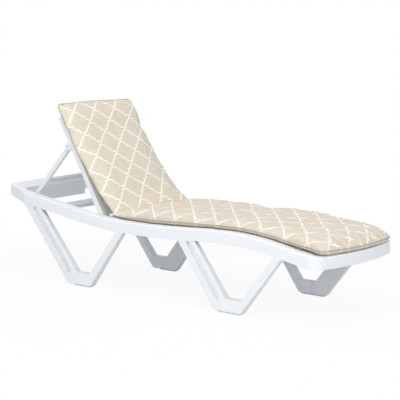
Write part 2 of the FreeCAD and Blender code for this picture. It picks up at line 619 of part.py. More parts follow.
def cut_for_wheel(body, sign):
    """Round the lower head-side corner and make room for the wheel and its axle."""
    x = wheel_x(sign)
    across = (-HALF_WIDTH - 1.0, HALF_WIDTH + 1.0)
    corner = box((x - 2.0 * WHEEL_RADIUS, x), across, (0.0, CORNER_TOP))
    corner = corner.cut(cylinder_y(x, WHEEL_Z, CORNER, across[0] - 1.0, across[1] + 1.0))
    body = body.cut(corner)
    room = spread(sign, HALF_WIDTH - LEG_DEPTH + CHEEK[1], HALF_WIDTH - LEG_WALL - 1.0)
    body = body.cut(cylinder_y(x, WHEEL_Z, WHEEL_RADIUS + WHEEL_ROOM, room[0], room[1]))
    cheek = spread(sign, HALF_WIDTH - LEG_DEPTH + CHEEK[0], HALF_WIDTH - LEG_DEPTH + CHEEK[1])
    plate = cylinder_y(x, WHEEL_Z, CORNER, cheek[0], cheek[1])
    body = body.fuse(plate)
    hole = spread(sign, HALF_WIDTH - LEG_DEPTH - 1.0, HALF_WIDTH - LEG_WALL + 2.0)
    return body.cut(cylinder_y(x, WHEEL_Z, AXLE_RADIUS + RUNNING, hole[0], hole[1]))


def add_tenons(body, end, sign):
    """Blocks that stand up into the rail's channel, one above each arm."""
    outer = HALF_WIDTH - RAIL_WALL - TENON_GAP
    y = spread(sign, outer - TENON_DEPTH, outer)
    for x in tenon_spots(end, sign):
        block = band(x - TENON_LENGTH / 2.0, x + TENON_LENGTH / 2.0, RAIL_HEIGHT - TENON_HEIGHT,
                     RAIL_HEIGHT + LEG_WALL, y[0], y[1])
        body = body.fuse(block)
    return body


def foot_pad(end, sign):
    """Non-slip pad under a leg."""
    low_outer, low_inner, high_inner, high_outer = leg_lines(end, sign)
    start = low_outer(FOOT_PAD_HEIGHT) + FOOT_PAD_INSET
    if end == "head":
        start = wheel_x(sign) + WHEEL_RADIUS - WHEEL_ROOM
    y = spread(sign, HALF_WIDTH - LEG_DEPTH + FOOT_PAD_MARGIN, HALF_WIDTH - FOOT_PAD_MARGIN)
    pad = box((start, high_outer(0.0) - FOOT_PAD_MARGIN - 1.0), y, (0.0, FOOT_PAD_HEIGHT))
    return fillet_where(pad, FOOT_PAD_RADIUS, lambda p, t: p.z < 0.5)


def wheel(sign):
    inner = HALF_WIDTH - LEG_DEPTH + WHEEL_INSET
    y = spread(sign, inner, inner + WHEEL_WIDTH)
    tyre = cylinder_y(wheel_x(sign), WHEEL_Z, WHEEL_RADIUS, y[0], y[1])
    tyre = tyre.makeFillet(WHEEL_EDGE_RADIUS, [e for e in tyre.Edges if len(e.Vertexes) == 1])
    return tyre.cut(cylinder_y(wheel_x(sign), WHEEL_Z, AXLE_RADIUS + RUNNING, y[0] - 1.0, y[1] + 1.0))


def wheel_axle(sign):
    y = spread(sign, HALF_WIDTH - LEG_DEPTH + CHEEK[0], HALF_WIDTH - LEG_WALL + AXLE_END)
    return cylinder_y(wheel_x(sign), WHEEL_Z, AXLE_RADIUS, y[0], y[1])


# ---------------------------------------------------------------- backrest
def back_rail(sign):
    """Side rail of the backrest, rounded round the hinge, with a lug for the bail."""
    y = spread(sign, BACK_INNER, BACK_OUTER)
    half = BACK_DEPTH / 2.0
    rail = back_block((0.0, BACK_LENGTH), (-half, half), y)
    rail = rail.fuse(cylinder_y(HINGE_X, HINGE_Z, half, y[0], y[1]))
    lug_y = spread(sign, BACK_OUTER - LUG_WALL, BACK_OUTER)
    centre = PIVOT
    lug = back_block((BAIL_PIVOT_ALONG - LUG_FOOT, BAIL_PIVOT_ALONG + LUG_NOSE),
                     (-half - BAIL_PIVOT_BEHIND, half), lug_y)
    nose = cylinder_y(centre[0], centre[1], LUG_NOSE, lug_y[0], lug_y[1])
    rail = rail.fuse(lug).fuse(nose).removeSplitter()
    rail = fillet_where(rail, BACK_EDGE_RADIUS, lambda p, t: abs(abs(p.y) - BACK_OUTER) < 0.01
                        and abs(t.y) < 0.1 and back_coordinates(p)[0] > BACK_PLAIN
                        and abs(abs(back_coordinates(p)[1]) - half) < 0.1
                        and abs(back_coordinates(p)[0] - BAIL_PIVOT_ALONG) > LUG_PLAIN)
    rail = rail.cut(cylinder_y(HINGE_X, HINGE_Z, HINGE_RADIUS + BUSH_WALL, y[0] - 1.0, y[1] + 1.0))
    return rail.cut(cylinder_y(centre[0], centre[1], BAIL_PIN_RADIUS + RUNNING,
                               lug_y[0] - 1.0, lug_y[1] + 1.0))


def back_coordinates(p):
    """Along and out coordinates of a point of the backrest."""
    angle = math.radians(REST_ANGLE)
    dx = p.x - HINGE_X
    dz = p.z - HINGE_Z
    along = -dx * math.cos(angle) + dz * math.sin(angle)
    out = dx * math.sin(angle) + dz * math.cos(angle)
    return along, out


def hinge_bush(sign):
    """Flanged bush pressed into the backrest rail, running on the hinge pin."""
    barrel = spread(sign, BACK_INNER, BACK_OUTER)
    flange = spread(sign, BACK_OUTER, INNER - BUSH_GAP)
    outside = HINGE_RADIUS + BUSH_WALL
    bush = cylinder_y(HINGE_X, HINGE_Z, outside, barrel[0], barrel[1])
    bush = bush.fuse(cylinder_y(HINGE_X, HINGE_Z, outside + BUSH_FLANGE, flange[0], flange[1]))
    return bush.cut(cylinder_y(HINGE_X, HINGE_Z, HINGE_RADIUS + RUNNING, -HALF_WIDTH, HALF_WIDTH))


def hinge_pin(sign):
    """Pin held in the side rail's boss, on which the backrest turns."""
    face = BACK_INNER - HEAD_GAP
    y = spread(sign, face, INNER + PIN_SEAT)
    pin = cylinder_y(HINGE_X, HINGE_Z, HINGE_RADIUS, y[0], y[1])
    head = spread(sign, face - HINGE_HEAD[1], face)
    around = HINGE_RADIUS + HINGE_HEAD[0]
    return pin.fuse(cylinder_y(HINGE_X, HINGE_Z, around, head[0], head[1])).removeSplitter()


def back_cross(along_from, along_to, depth):
    """Cross member between the backrest's rails, flush with their front."""
    half = BACK_DEPTH / 2.0
    member = back_block((along_from, along_to), (half - depth, half), (-BACK_INNER, BACK_INNER))
    member = fillet_where(member, SLAT_RADIUS, lambda p, t: abs(t.y) > 0.9
                          and back_coordinates(p)[1] > half - 1.0)
    hollow = back_block((along_from + SLAT_WALL, along_to - SLAT_WALL), (-half - BEYOND, half - SLAT_WALL),
                        (SLAT_WALL - BACK_INNER, BACK_INNER - SLAT_WALL))
    middle = back_block((along_from, along_to), (-half - BEYOND, half), (-SLAT_WALL / 2.0, SLAT_WALL / 2.0))
    return member.cut(hollow.cut(middle))


def back_slats():
    """Along limits of the slats between the bottom and the top cross members."""
    first = BACK_BOTTOM_START + BACK_BOTTOM_WIDTH
    last = BACK_LENGTH - BACK_TOP_WIDTH
    width = (last - first - (BACK_SLAT_COUNT + 1) * SLAT_GAP) / BACK_SLAT_COUNT
    return [(first + SLAT_GAP + i * (width + SLAT_GAP), first + (i + 1) * (width + SLAT_GAP))
            for i in range(BACK_SLAT_COUNT)]


# ---------------------------------------------------------------- bail
BAIL_OUTER = INNER - RACK_WALL - OPEN_PIVOT_GAP
BAIL_ARM_OUTER = BACK_OUTER - LUG_WALL - BAIL_GAP
BAIL_ARM_INNER = BAIL_ARM_OUTER - BAIL_DEPTH


def bail_arm(sign):
    """Arm of the bail, rounded at both ends, with a foot peg that meets the rack."""
    y = spread(sign, BAIL_ARM_INNER, BAIL_ARM_OUTER)
    half = BAIL_WIDTH / 2.0
    corners = [on_bail(0.0, -half), on_bail(BAIL_LENGTH, -half), on_bail(BAIL_LENGTH, half),
               on_bail(0.0, half)]
    arm = prism_y(corners, y[0], y[1])
    arm = arm.fuse(cylinder_y(PIVOT[0], PIVOT[1], half, y[0], y[1]))
    arm = arm.fuse(cylinder_y(FOOT[0], FOOT[1], half, y[0], y[1])).removeSplitter()
    arm = fillet_where(arm, BAIL_EDGE_RADIUS, lambda p, t: abs(t.y) < 0.1)
    peg = spread(sign, BAIL_ARM_INNER, BAIL_OUTER)
    arm = arm.fuse(cylinder_y(FOOT[0], FOOT[1], half - BAIL_EDGE_RADIUS - 1.0, peg[0], peg[1]))
    return arm.cut(cylinder_y(PIVOT[0], PIVOT[1], BAIL_PIN_RADIUS + RUNNING, y[0] - 1.0, y[1] + 1.0))


def bail_crossbar():
    """Bar that ties the two arms together, near their feet."""
    along = BAIL_CROSSBAR_AT * BAIL_LENGTH
    tall, thick = BAIL_CROSSBAR
    corners = [on_bail(along - tall / 2.0, -thick / 2.0), on_bail(along + tall / 2.0, -thick / 2.0),
               on_bail(along + tall / 2.0, thick / 2.0), on_bail(along - tall / 2.0, thick / 2.0)]
    bar = prism_y(corners, -BAIL_ARM_INNER, BAIL_ARM_INNER)
    return fillet_where(bar, BAIL_EDGE_RADIUS, lambda p, t: abs(t.y) > 0.9)


def bail_pin(sign):
    """Pin through the lug of the backrest and the bail's arm."""
    face = BAIL_ARM_INNER - HEAD_GAP
    y = spread(sign, face, BACK_OUTER)
    pin = cylinder_y(PIVOT[0], PIVOT[1], BAIL_PIN_RADIUS, y[0], y[1])
    head = spread(sign, face - BAIL_HEAD[1], face)
    around = BAIL_PIN_RADIUS + BAIL_HEAD[0]
    return pin.fuse(cylinder_y(PIVOT[0], PIVOT[1], around, head[0], head[1])).removeSplitter()


# ---------------------------------------------------------------- cushion
def pad_outline(half, side, top, below):
    """Cross-section of the cushion as (y, height): flat below, wide at the seam, crowned.

    Its flanks may run on below the base, to be trimmed there."""
    rise = top - side
    tuck = PAD_TUCK * (side + below) / side
    shoulder = [(-half + tuck, -below), (-half, side),
                (-half + PAD_BREAK[0] * PAD_SHOULDER, side + PAD_BREAK[1] * rise),
                (-half + PAD_SHOULDER, top)]
    return shoulder + [(-y, height) for y, height in reversed(shoulder)]


def pad_loft(stations, place, below):
    """Solid through cross-sections at (position, half width, side, top)."""
    wires = []
    for at, half, side, top in stations:
        outline = pad_outline(half, side, top, below)
        wires.append(polygon([place(at, y, height) for y, height in outline]))
    return Part.makeLoft(wires, True, True)


def slat_rise(x_from, x_to):
    """How far the edges of the slats between two places stand above the rails' top edge."""
    rise = 0.0
    for x in slat_positions():
        lean = math.radians(slope_at(x))
        for reach in (-SLAT_WIDTH / 2.0, SLAT_WIDTH / 2.0):
            edge = x + reach * math.cos(lean)
            if x_from < edge < x_to:
                rise = max(rise, top_at(x) - SLAT_DROP + reach * math.sin(lean) - top_at(edge))
    return rise


def cushion_section(x_from, x_to, thickness, side):
    """Plain crowned solid of a cushion section that lies on the slats."""
    half = HALF_WIDTH - PAD_MARGIN
    lift = SOFT_GAP + slat_rise(x_from, x_to)
    end = (half - PAD_CORNER, side, side + PAD_END_RISE * (thickness - side))
    spans = math.ceil((x_to - x_from - 2.0 * PAD_END) / PAD_SPAN)
    inner = [x_from + PAD_END + i * (x_to - x_from - 2.0 * PAD_END) / spans for i in range(spans + 1)]
    stations = [(x_from,) + end] + [(x, half, side, thickness) for x in inner] + [(x_to,) + end]

    def place(x, y, height):
        return (x, y, top_at(x) + lift + height)

    above = band(x_from, x_to, -2.0 * thickness, -lift, -half - 1.0, half + 1.0)
    return pad_loft(stations, place, side).common(above).removeSplitter()


def cushion_back_end():
    """Top end of the back section, along the backrest."""
    return BACK_LENGTH + PAD_OVERHANG


def pad_off(along):
    """How far the back section stands off the backrest."""
    return PAD_LIFT * max(0.0, 1.0 - along / (PAD_LEAVE * BACK_LENGTH))


def seat_pad_start():
    """Head-side end of the seat section, a crease in front of the back section's lower edge."""
    top = PAD_SIDE + PAD_END_RISE * (PAD_THICKNESS - PAD_SIDE)
    out = BACK_DEPTH / 2.0 + SOFT_GAP + pad_off(PAD_BACK_START) + top
    return on_back(PAD_BACK_START, out)[0] + PAD_CREASE


def cushion_back():
    """Plain solid of the cushion's back section, with its pocket over the backrest's top rail."""
    half = BACK_DEPTH / 2.0
    width = HALF_WIDTH - PAD_MARGIN
    start = PAD_BACK_START
    end = cushion_back_end()
    face = half + SOFT_GAP

    def place(along, y, height):
        x, z = on_back(along, face + pad_off(along) + height)
        return (x, y, z)

    low_end = PAD_SIDE + PAD_END_RISE * (PAD_THICKNESS - PAD_SIDE)
    stations = [(start, width - PAD_CORNER, PAD_SIDE, low_end),
                (start + PAD_END, width, PAD_SIDE, PAD_THICKNESS),
                (PAD_LEAVE * BACK_LENGTH, width, PAD_SIDE, PAD_THICKNESS),
                (end - PAD_TOP_TAPER, width, PAD_SIDE, PAD_THICKNESS),
                (end, width, PAD_TOP_SIDE, PAD_TOP_THICKNESS)]
    pad = pad_loft(stations, place, 0.0)
    behind = -half - SOFT_GAP
    over_end = BACK_LENGTH + SOFT_GAP + HOOD_WALL
    pocket = BACK_INNER - HOOD_SIDE
    over = back_block((BACK_LENGTH + SOFT_GAP, over_end), (behind - HOOD_WALL, face + PAD_TOP_SIDE),
                      (-pocket, pocket))
    panel = back_block((over_end - HOOD_DEPTH, over_end), (behind - HOOD_WALL, behind), (-pocket, pocket))
    return pad.fuse(over).fuse(panel).removeSplitter()


# ---------------------------------------------------------------- build
def build():
    """Every node's name and shape."""
    nodes = {"head_end": head_end(), "foot_end": foot_end()}
    slat = slat_section(SLAT_WIDTH)
    for i, x in enumerate(slat_positions()):
        nodes["seat_slat_%02d" % (i + 1)] = place_slat(slat, x, SLAT_DROP)
    nodes["cross_brace"] = place_slat(slat_section(BRACE_WIDTH), BRACE_X, BRACE_DROP)
    for i, limits in enumerate(back_slats()):
        nodes["back_slat_%d" % (i + 1)] = back_cross(limits[0], limits[1], SLAT_HEIGHT)
    nodes["back_top_rail"] = back_cross(BACK_LENGTH - BACK_TOP_WIDTH, BACK_LENGTH, BACK_DEPTH)
    nodes["back_bottom_rail"] = back_cross(BACK_BOTTOM_START, BACK_BOTTOM_START + BACK_BOTTOM_WIDTH,
                                           BACK_DEPTH)
    for name, sign in SIDES:
        nodes["side_rail_" + name] = side_rail(sign)
        nodes["notch_rack_" + name] = notch_rack(sign)
        nodes["back_rail_" + name] = back_rail(sign)
        nodes["hinge_bush_" + name] = hinge_bush(sign)
        nodes["hinge_pin_" + name] = hinge_pin(sign)
        nodes["bail_arm_" + name] = bail_arm(sign)
        nodes["bail_pin_" + name] = bail_pin(sign)
        nodes["wheel_" + name] = wheel(sign)
        nodes["wheel_axle_" + name] = wheel_axle(sign)
        for end in ("head", "foot"):
            nodes["leg_%s_%s" % (end, name)] = leg(end, sign)
            nodes["foot_pad_%s_%s" % (end, name)] = foot_pad(end, sign)
    nodes["bail_crossbar"] = bail_crossbar()
    foot_pad_end = HALF_LENGTH - PAD_FOOT_INSET
    crease = foot_pad_end - PAD_FOOT_LENGTH
    nodes["cushion_seat"] = cushion_section(seat_pad_start(), crease - PAD_CREASE, PAD_THICKNESS,
                                            PAD_SIDE)
    nodes["cushion_foot"] = cushion_section(crease, foot_pad_end, PAD_FOOT_THICKNESS, PAD_FOOT_SIDE)
    nodes["cushion_back"] = cushion_back()
    return nodes


os.makedirs("parts", exist_ok=True)
for node, shape in build().items():
    print("%-22s solids %d valid %s volume %.0f" % (node, len(shape.Solids), shape.isValid(), shape.Volume))
    shape.exportStep("parts/%s.step" % node)
print("hinge %.3f %.3f  pivot %.3f %.3f  foot %.3f %.3f" % (HINGE_X, HINGE_Z, *PIVOT, *FOOT))
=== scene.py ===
import json
import math

import bmesh
import bpy
import numpy as np
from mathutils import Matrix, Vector


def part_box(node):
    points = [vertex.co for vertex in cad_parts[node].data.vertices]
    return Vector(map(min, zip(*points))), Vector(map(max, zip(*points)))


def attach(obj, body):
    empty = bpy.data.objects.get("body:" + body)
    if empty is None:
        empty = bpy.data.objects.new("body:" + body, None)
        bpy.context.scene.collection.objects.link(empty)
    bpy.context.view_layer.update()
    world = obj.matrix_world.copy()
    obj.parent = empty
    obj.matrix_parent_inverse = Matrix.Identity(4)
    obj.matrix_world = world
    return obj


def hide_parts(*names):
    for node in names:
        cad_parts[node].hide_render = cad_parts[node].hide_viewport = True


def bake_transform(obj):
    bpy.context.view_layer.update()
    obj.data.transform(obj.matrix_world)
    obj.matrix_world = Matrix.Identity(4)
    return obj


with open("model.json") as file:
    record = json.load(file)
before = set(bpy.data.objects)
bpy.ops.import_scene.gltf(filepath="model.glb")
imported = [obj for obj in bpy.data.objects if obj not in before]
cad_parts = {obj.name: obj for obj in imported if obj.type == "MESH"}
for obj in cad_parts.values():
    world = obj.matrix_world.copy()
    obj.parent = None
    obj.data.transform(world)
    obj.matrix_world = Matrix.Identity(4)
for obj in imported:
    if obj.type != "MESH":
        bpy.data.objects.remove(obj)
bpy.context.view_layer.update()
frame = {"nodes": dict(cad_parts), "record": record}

bl_info = {
    "name": "Sun lounger finish",
    "version": (1, 0, 0),
    "blender": (4, 5, 0),
    "location": "3D View > Sidebar > Lounger",
    "description": "Resin finish, cushion and studio for the reclining sun lounger",
    "category": "Object",
}

HINGE = Vector(next(j["pos_m"] for j in frame["record"]["behaviour"]["joints"]
                    if j["name"] == "backrest_hinge"))


# ---------------------------------------------------------------- sizes and colours
class LoungerResin(bpy.types.PropertyGroup):
    """Finish of the moulded frame and its fittings"""
    colour: bpy.props.FloatVectorProperty(
        name="Resin", description="Colour of the white moulded resin", subtype="COLOR",
        size=4, default=(0.80, 0.808, 0.808, 1.0), min=0.0, max=1.0)
    roughness: bpy.props.FloatProperty(
        name="Roughness", description="Roughness of the moulded surface", default=0.42, min=0.0, max=1.0,
        subtype="FACTOR")
    edge: bpy.props.FloatProperty(
        name="Edge softness", description="Radius to which hard edges are softened",
        default=0.0016, unit="LENGTH")
    grain: bpy.props.FloatProperty(
        name="Grain", description="Size of the spark grain of the mould", default=0.0011, unit="LENGTH")
    pad_colour: bpy.props.FloatVectorProperty(
        name="Foot pads", description="Colour of the non-slip pads", subtype="COLOR",
        size=4, default=(0.56, 0.59, 0.63, 1.0), min=0.0, max=1.0)
    wheel_colour: bpy.props.FloatVectorProperty(
        name="Wheels", description="Colour of the transport wheels", subtype="COLOR",
        size=4, default=(0.10, 0.12, 0.15, 1.0), min=0.0, max=1.0)
    nylon_colour: bpy.props.FloatVectorProperty(
        name="Hinge nylon", description="Colour of the pins and bushes", subtype="COLOR",
        size=4, default=(0.66, 0.68, 0.70, 1.0), min=0.0, max=1.0)


class LoungerFabric(bpy.types.PropertyGroup):
    """Printed cloth of the cushion"""
    ground: bpy.props.FloatVectorProperty(
        name="Ground", description="Beige ground of the cloth", subtype="COLOR",
        size=4, default=(0.675, 0.590, 0.480, 1.0), min=0.0, max=1.0)
    line: bpy.props.FloatVectorProperty(
        name="Trellis", description="Off-white lines of the trellis", subtype="COLOR",
        size=4, default=(0.83, 0.79, 0.71, 1.0), min=0.0, max=1.0)
    cell_across: bpy.props.FloatProperty(
        name="Cell across", description="Width of one trellis cell across the cushion",
        default=0.136, unit="LENGTH")
    cell_along: bpy.props.FloatProperty(
        name="Cell along", description="Length of one trellis cell along the cushion",
        default=0.1245, unit="LENGTH")
    phase_across: bpy.props.FloatProperty(
        name="Phase across", description="Where the trellis starts across the cushion, in cells",
        default=0.38)
    phase_along: bpy.props.FloatProperty(
        name="Phase along", description="Where the trellis starts along the cushion, in cells",
        default=0.54)
    line_width: bpy.props.FloatProperty(
        name="Line width", description="Width of a trellis line", default=0.0086, unit="LENGTH")
    ogee: bpy.props.FloatProperty(
        name="Ogee", description="How far the lines swing, as a share of a cell", default=0.024)
    jogs: bpy.props.IntProperty(
        name="Jogs", description="Small side steps of a line between two crossings", default=3)
    thread: bpy.props.FloatProperty(
        name="Thread", description="Spacing of the threads", default=0.0012, unit="LENGTH")


class LoungerCushion(bpy.types.PropertyGroup):
    """Shape of the cushion"""
    half_width: bpy.props.FloatProperty(
        name="Half width", description="Half the cushion's width", default=0.252, unit="LENGTH")
    lip: bpy.props.FloatProperty(
        name="Lip", description="Width of the steep lip beside the side seam",
        default=0.017, unit="LENGTH")
    shoulder: bpy.props.FloatProperty(
        name="Shoulder", description="Width over which the top rises to its crown",
        default=0.125, unit="LENGTH")
    bow: bpy.props.FloatProperty(
        name="Bow", description="How far the middle of the foot end stands out",
        default=0.030, unit="LENGTH")
    skew: bpy.props.FloatProperty(
        name="Skew", description="How far the creases run askew on each side",
        default=0.020, unit="LENGTH")
    askew: bpy.props.FloatProperty(
        name="Askew", description="How much further the fold itself runs askew on the far side",
        default=0.032, unit="LENGTH")
    corner: bpy.props.FloatProperty(
        name="Corner", description="Corner radius in plan", default=0.020, unit="LENGTH")
    pocket: bpy.props.FloatProperty(
        name="Pocket", description="How far the pocket reaches down behind the top rail",
        default=0.064, unit="LENGTH")
    pocket_side: bpy.props.FloatProperty(
        name="Pocket side", description="Sides of the pocket, in from the backrest's side rails",
        default=0.009, unit="LENGTH")
    droop: bpy.props.FloatProperty(
        name="Droop", description="How far the far top corner hangs lower", default=0.011, unit="LENGTH")
    seam: bpy.props.FloatProperty(
        name="Seam", description="Radius of the rolled seam", default=0.0020, unit="LENGTH")
    step: bpy.props.FloatProperty(
        name="Mesh step", description="Spacing of the cushion's mesh", default=0.0105, unit="LENGTH")
    slot: bpy.props.FloatProperty(
        name="Slot", description="How far the side of the cushion stands over the rail",
        default=0.0030, unit="LENGTH")
    rounding: bpy.props.IntProperty(
        name="Rounding", description="Passes that ease the cushion's side view", default=14)


class LoungerStage(bpy.types.PropertyGroup):
    """Studio"""
    key_power: bpy.props.FloatProperty(
        name="Key light", description="Power of the overhead light", default=78.0, unit="POWER")
    fill_power: bpy.props.FloatProperty(
        name="Fill light", description="Power of the front light", default=66.0, unit="POWER")
    ambient: bpy.props.FloatProperty(
        name="Ambient", description="Strength of the room light", default=0.54)
    shadow: bpy.props.FloatProperty(
        name="Floor shadow", description="How strongly the floor shows the shadow",
        default=0.08, subtype="FACTOR")
    lens: bpy.props.FloatProperty(
        name="Lens", description="Focal length in millimetres", default=146.4)


# ---------------------------------------------------------------- node helpers
def new_material(name):
    """Empty node material with its output and a principled shader."""
    material = bpy.data.materials.new(name)
    material.use_nodes = True
    nodes = material.node_tree.nodes
    nodes.clear()
    output = nodes.new("ShaderNodeOutputMaterial")
    shader = nodes.new("ShaderNodeBsdfPrincipled")
    material.node_tree.links.new(shader.outputs["BSDF"], output.inputs["Surface"])
    return material, nodes, material.node_tree.links, shader


def coordinates(nodes, links, kind, scale=(1.0, 1.0, 1.0), shift=(0.0, 0.0, 0.0)):
    """Mapped texture coordinates."""
    source = nodes.new("ShaderNodeTexCoord")
    mapping = nodes.new("ShaderNodeMapping")
    mapping.inputs["Scale"].default_value = scale
    mapping.inputs["Location"].default_value = shift
    links.new(source.outputs[kind], mapping.inputs["Vector"])
    return mapping.outputs["Vector"]


def noise(nodes, links, vector, scale, detail=3.0, roughness=0.5):
    texture = nodes.new("ShaderNodeTexNoise")
    texture.inputs["Scale"].default_value = scale
    texture.inputs["Detail"].default_value = detail
    texture.inputs["Roughness"].default_value = roughness
    links.new(vector, texture.inputs["Vector"])
    return texture.outputs["Fac"]


def math_node(nodes, links, operation, first, second=None):
    """Math node; inputs are sockets or numbers."""
    node = nodes.new("ShaderNodeMath")
    node.operation = operation
    for socket, value in zip(node.inputs, (first, second)):
        if value is None:
            continue
        if isinstance(value, (int, float)):
            socket.default_value = value
        else:
            links.new(value, socket)
    return node.outputs["Value"]


def spread_range(nodes, links, value, low, high, to_low, to_high, smooth=False):
    node = nodes.new("ShaderNodeMapRange")
    if smooth:
        node.interpolation_type = "SMOOTHSTEP"
    node.inputs["From Min"].default_value = low
    node.inputs["From Max"].default_value = high
    node.inputs["To Min"].default_value = to_low
    node.inputs["To Max"].default_value = to_high
    links.new(value, node.inputs["Value"])
    return node.outputs["Result"]


def mix_colour(nodes, links, factor, first, second):
    node = nodes.new("ShaderNodeMix")
    node.data_type = "RGBA"
    if isinstance(factor, (int, float)):
        node.inputs["Factor"].default_value = factor
    else:
        links.new(factor, node.inputs["Factor"])
    for socket, value in ((node.inputs["A"], first), (node.inputs["B"], second)):
        if isinstance(value, tuple):
            socket.default_value = value
        else:
            links.new(value, socket)
    return node.outputs["Result"]


def bump(nodes, links, height, strength, distance, normal=None):
    node = nodes.new("ShaderNodeBump")
    node.inputs["Strength"].default_value = strength
    node.inputs["Distance"].default_value = distance
    links.new(height, node.inputs["Height"])
    if normal is not None:
        links.new(normal, node.inputs["Normal"])
    return node.outputs["Normal"]


def shade(colour, factor):
    """A colour made darker or lighter."""
    return tuple(min(1.0, c * factor) for c in colour[:3]) + (1.0,)


# ---------------------------------------------------------------- materials
# Painted shade: cloth darkened along the side seam, where the side turns down away from the light. Where it
# starts and ends, from the half width, and how strong.
SEAM_SIDE_PAINTED_SHADE = (0.006, 0.010, 0.38)


def resin_material(name, settings, colour, roughness, grain_strength):
    """Moulded plastic: softened edges, spark grain, faint flow marks and handling wear."""
    material, nodes, links, shader = new_material(name)
    place = coordinates(nodes, links, "Object")
    cloud = noise(nodes, links, place, 5.0, 4.0)
    tint = mix_colour(nodes, links, cloud, shade(colour, 0.965), shade(colour, 1.02))
    scuff = spread_range(nodes, links, noise(nodes, links, place, 38.0, 6.0, 0.65), 0.60, 0.74, 0.0, 0.10)
    links.new(mix_colour(nodes, links, scuff, tint, shade(colour, 0.86)), shader.inputs["Base Color"])
    gloss = spread_range(nodes, links, noise(nodes, links, place, 14.0, 5.0), 0.3, 0.7,
                         roughness - 0.06, roughness + 0.08)
    links.new(gloss, shader.inputs["Roughness"])
    soft = nodes.new("ShaderNodeBevel")
    soft.samples = 4
    soft.inputs["Radius"].default_value = settings.edge
    grain = noise(nodes, links, place, 1.0 / settings.grain, 2.0)
    rough = bump(nodes, links, grain, grain_strength, 0.0003, soft.outputs["Normal"])
    flow = noise(nodes, links, coordinates(nodes, links, "Object", (3.0, 9.0, 9.0)), 1.0, 2.0)
    links.new(bump(nodes, links, flow, 0.25, 0.0015, rough), shader.inputs["Normal"])
    shader.inputs["Specular IOR Level"].default_value = 0.42
    return material


def rubber_material(name, colour):
    """Soft grey rubber with a fine stipple."""
    material, nodes, links, shader = new_material(name)
    place = coordinates(nodes, links, "Object")
    dust = spread_range(nodes, links, noise(nodes, links, place, 60.0, 5.0, 0.7), 0.45, 0.7, 0.0, 0.5)
    links.new(mix_colour(nodes, links, dust, tuple(colour), shade(colour, 1.6)), shader.inputs["Base Color"])
    stipple = nodes.new("ShaderNodeTexVoronoi")
    stipple.inputs["Scale"].default_value = 420.0
    links.new(place, stipple.inputs["Vector"])
    links.new(bump(nodes, links, stipple.outputs["Distance"], 0.5, 0.0005), shader.inputs["Normal"])
    shader.inputs["Roughness"].default_value = 0.78
    return material


def steel_material(name):
    """Zinc-plated steel with fine turning marks."""
    material, nodes, links, shader = new_material(name)
    place = coordinates(nodes, links, "Object", (40.0, 900.0, 40.0))
    marks = noise(nodes, links, place, 1.0, 3.0)
    links.new(mix_colour(nodes, links, marks, (0.50, 0.51, 0.53, 1.0), (0.66, 0.67, 0.68, 1.0)),
              shader.inputs["Base Color"])
    links.new(spread_range(nodes, links, marks, 0.3, 0.7, 0.28, 0.42), shader.inputs["Roughness"])
    links.new(bump(nodes, links, marks, 0.2, 0.0002), shader.inputs["Normal"])
    shader.inputs["Metallic"].default_value = 1.0
    return material


def swing(nodes, links, value, amount, jogs):
    """Side step of a trellis line along its run: short lobes, and a jog between them."""
    wave = math_node(nodes, links, "SINE", math_node(nodes, links, "MULTIPLY", value, 2.0 * math.pi * jogs))
    size = math_node(nodes, links, "POWER", math_node(nodes, links, "ABSOLUTE", wave), 0.55)
    side = math_node(nodes, links, "SIGN", wave)
    return math_node(nodes, links, "MULTIPLY", math_node(nodes, links, "MULTIPLY", size, side), amount)


def trellis(nodes, links, settings, across, along, threads):
    """1 on the printed lines of the trellis and 0 between them, with slightly ragged edges."""
    u = math_node(nodes, links, "ADD", math_node(nodes, links, "DIVIDE", across, settings.cell_across),
                  settings.phase_across)
    v = math_node(nodes, links, "ADD", math_node(nodes, links, "DIVIDE", along, settings.cell_along),
                  settings.phase_along)
    rising = math_node(nodes, links, "ADD", u, v)
    falling = math_node(nodes, links, "SUBTRACT", u, v)
    distances = []
    for line, run in ((rising, falling), (falling, rising)):
        stepped = math_node(nodes, links, "ADD", line,
                            swing(nodes, links, run, settings.ogee, settings.jogs))
        distances.append(math_node(nodes, links, "PINGPONG", stepped, 0.5))
    near = math_node(nodes, links, "MINIMUM", *distances)
    pitch = 1.0 / math.hypot(1.0 / settings.cell_across, 1.0 / settings.cell_along)
    half = settings.line_width / 2.0 / pitch
    ragged = math_node(nodes, links, "ADD", near,
                       spread_range(nodes, links, threads, 0.7, 1.3, -0.006, 0.006))
    return spread_range(nodes, links, ragged, half * 0.86, half * 1.14, 1.0, 0.0, smooth=True)


def weave_normal(nodes, links, settings, across, along, threads):
    """Normal of the woven surface: its threads, and the crinkles of the cloth."""
    warp, weft = (math_node(nodes, links, "SINE",
                            math_node(nodes, links, "MULTIPLY", way, 2.0 * math.pi / settings.thread))
                  for way in (across, along))
    weave = math_node(nodes, links, "ADD", math_node(nodes, links, "MULTIPLY", warp, weft),
                      math_node(nodes, links, "MULTIPLY", threads, 1.5))
    fine = bump(nodes, links, weave, 0.35, 0.0003)
    crinkle = noise(nodes, links, coordinates(nodes, links, "UV", (9.0, 30.0, 1.0)), 1.0, 4.0, 0.55)
    return bump(nodes, links, crinkle, 0.35, 0.004, fine)


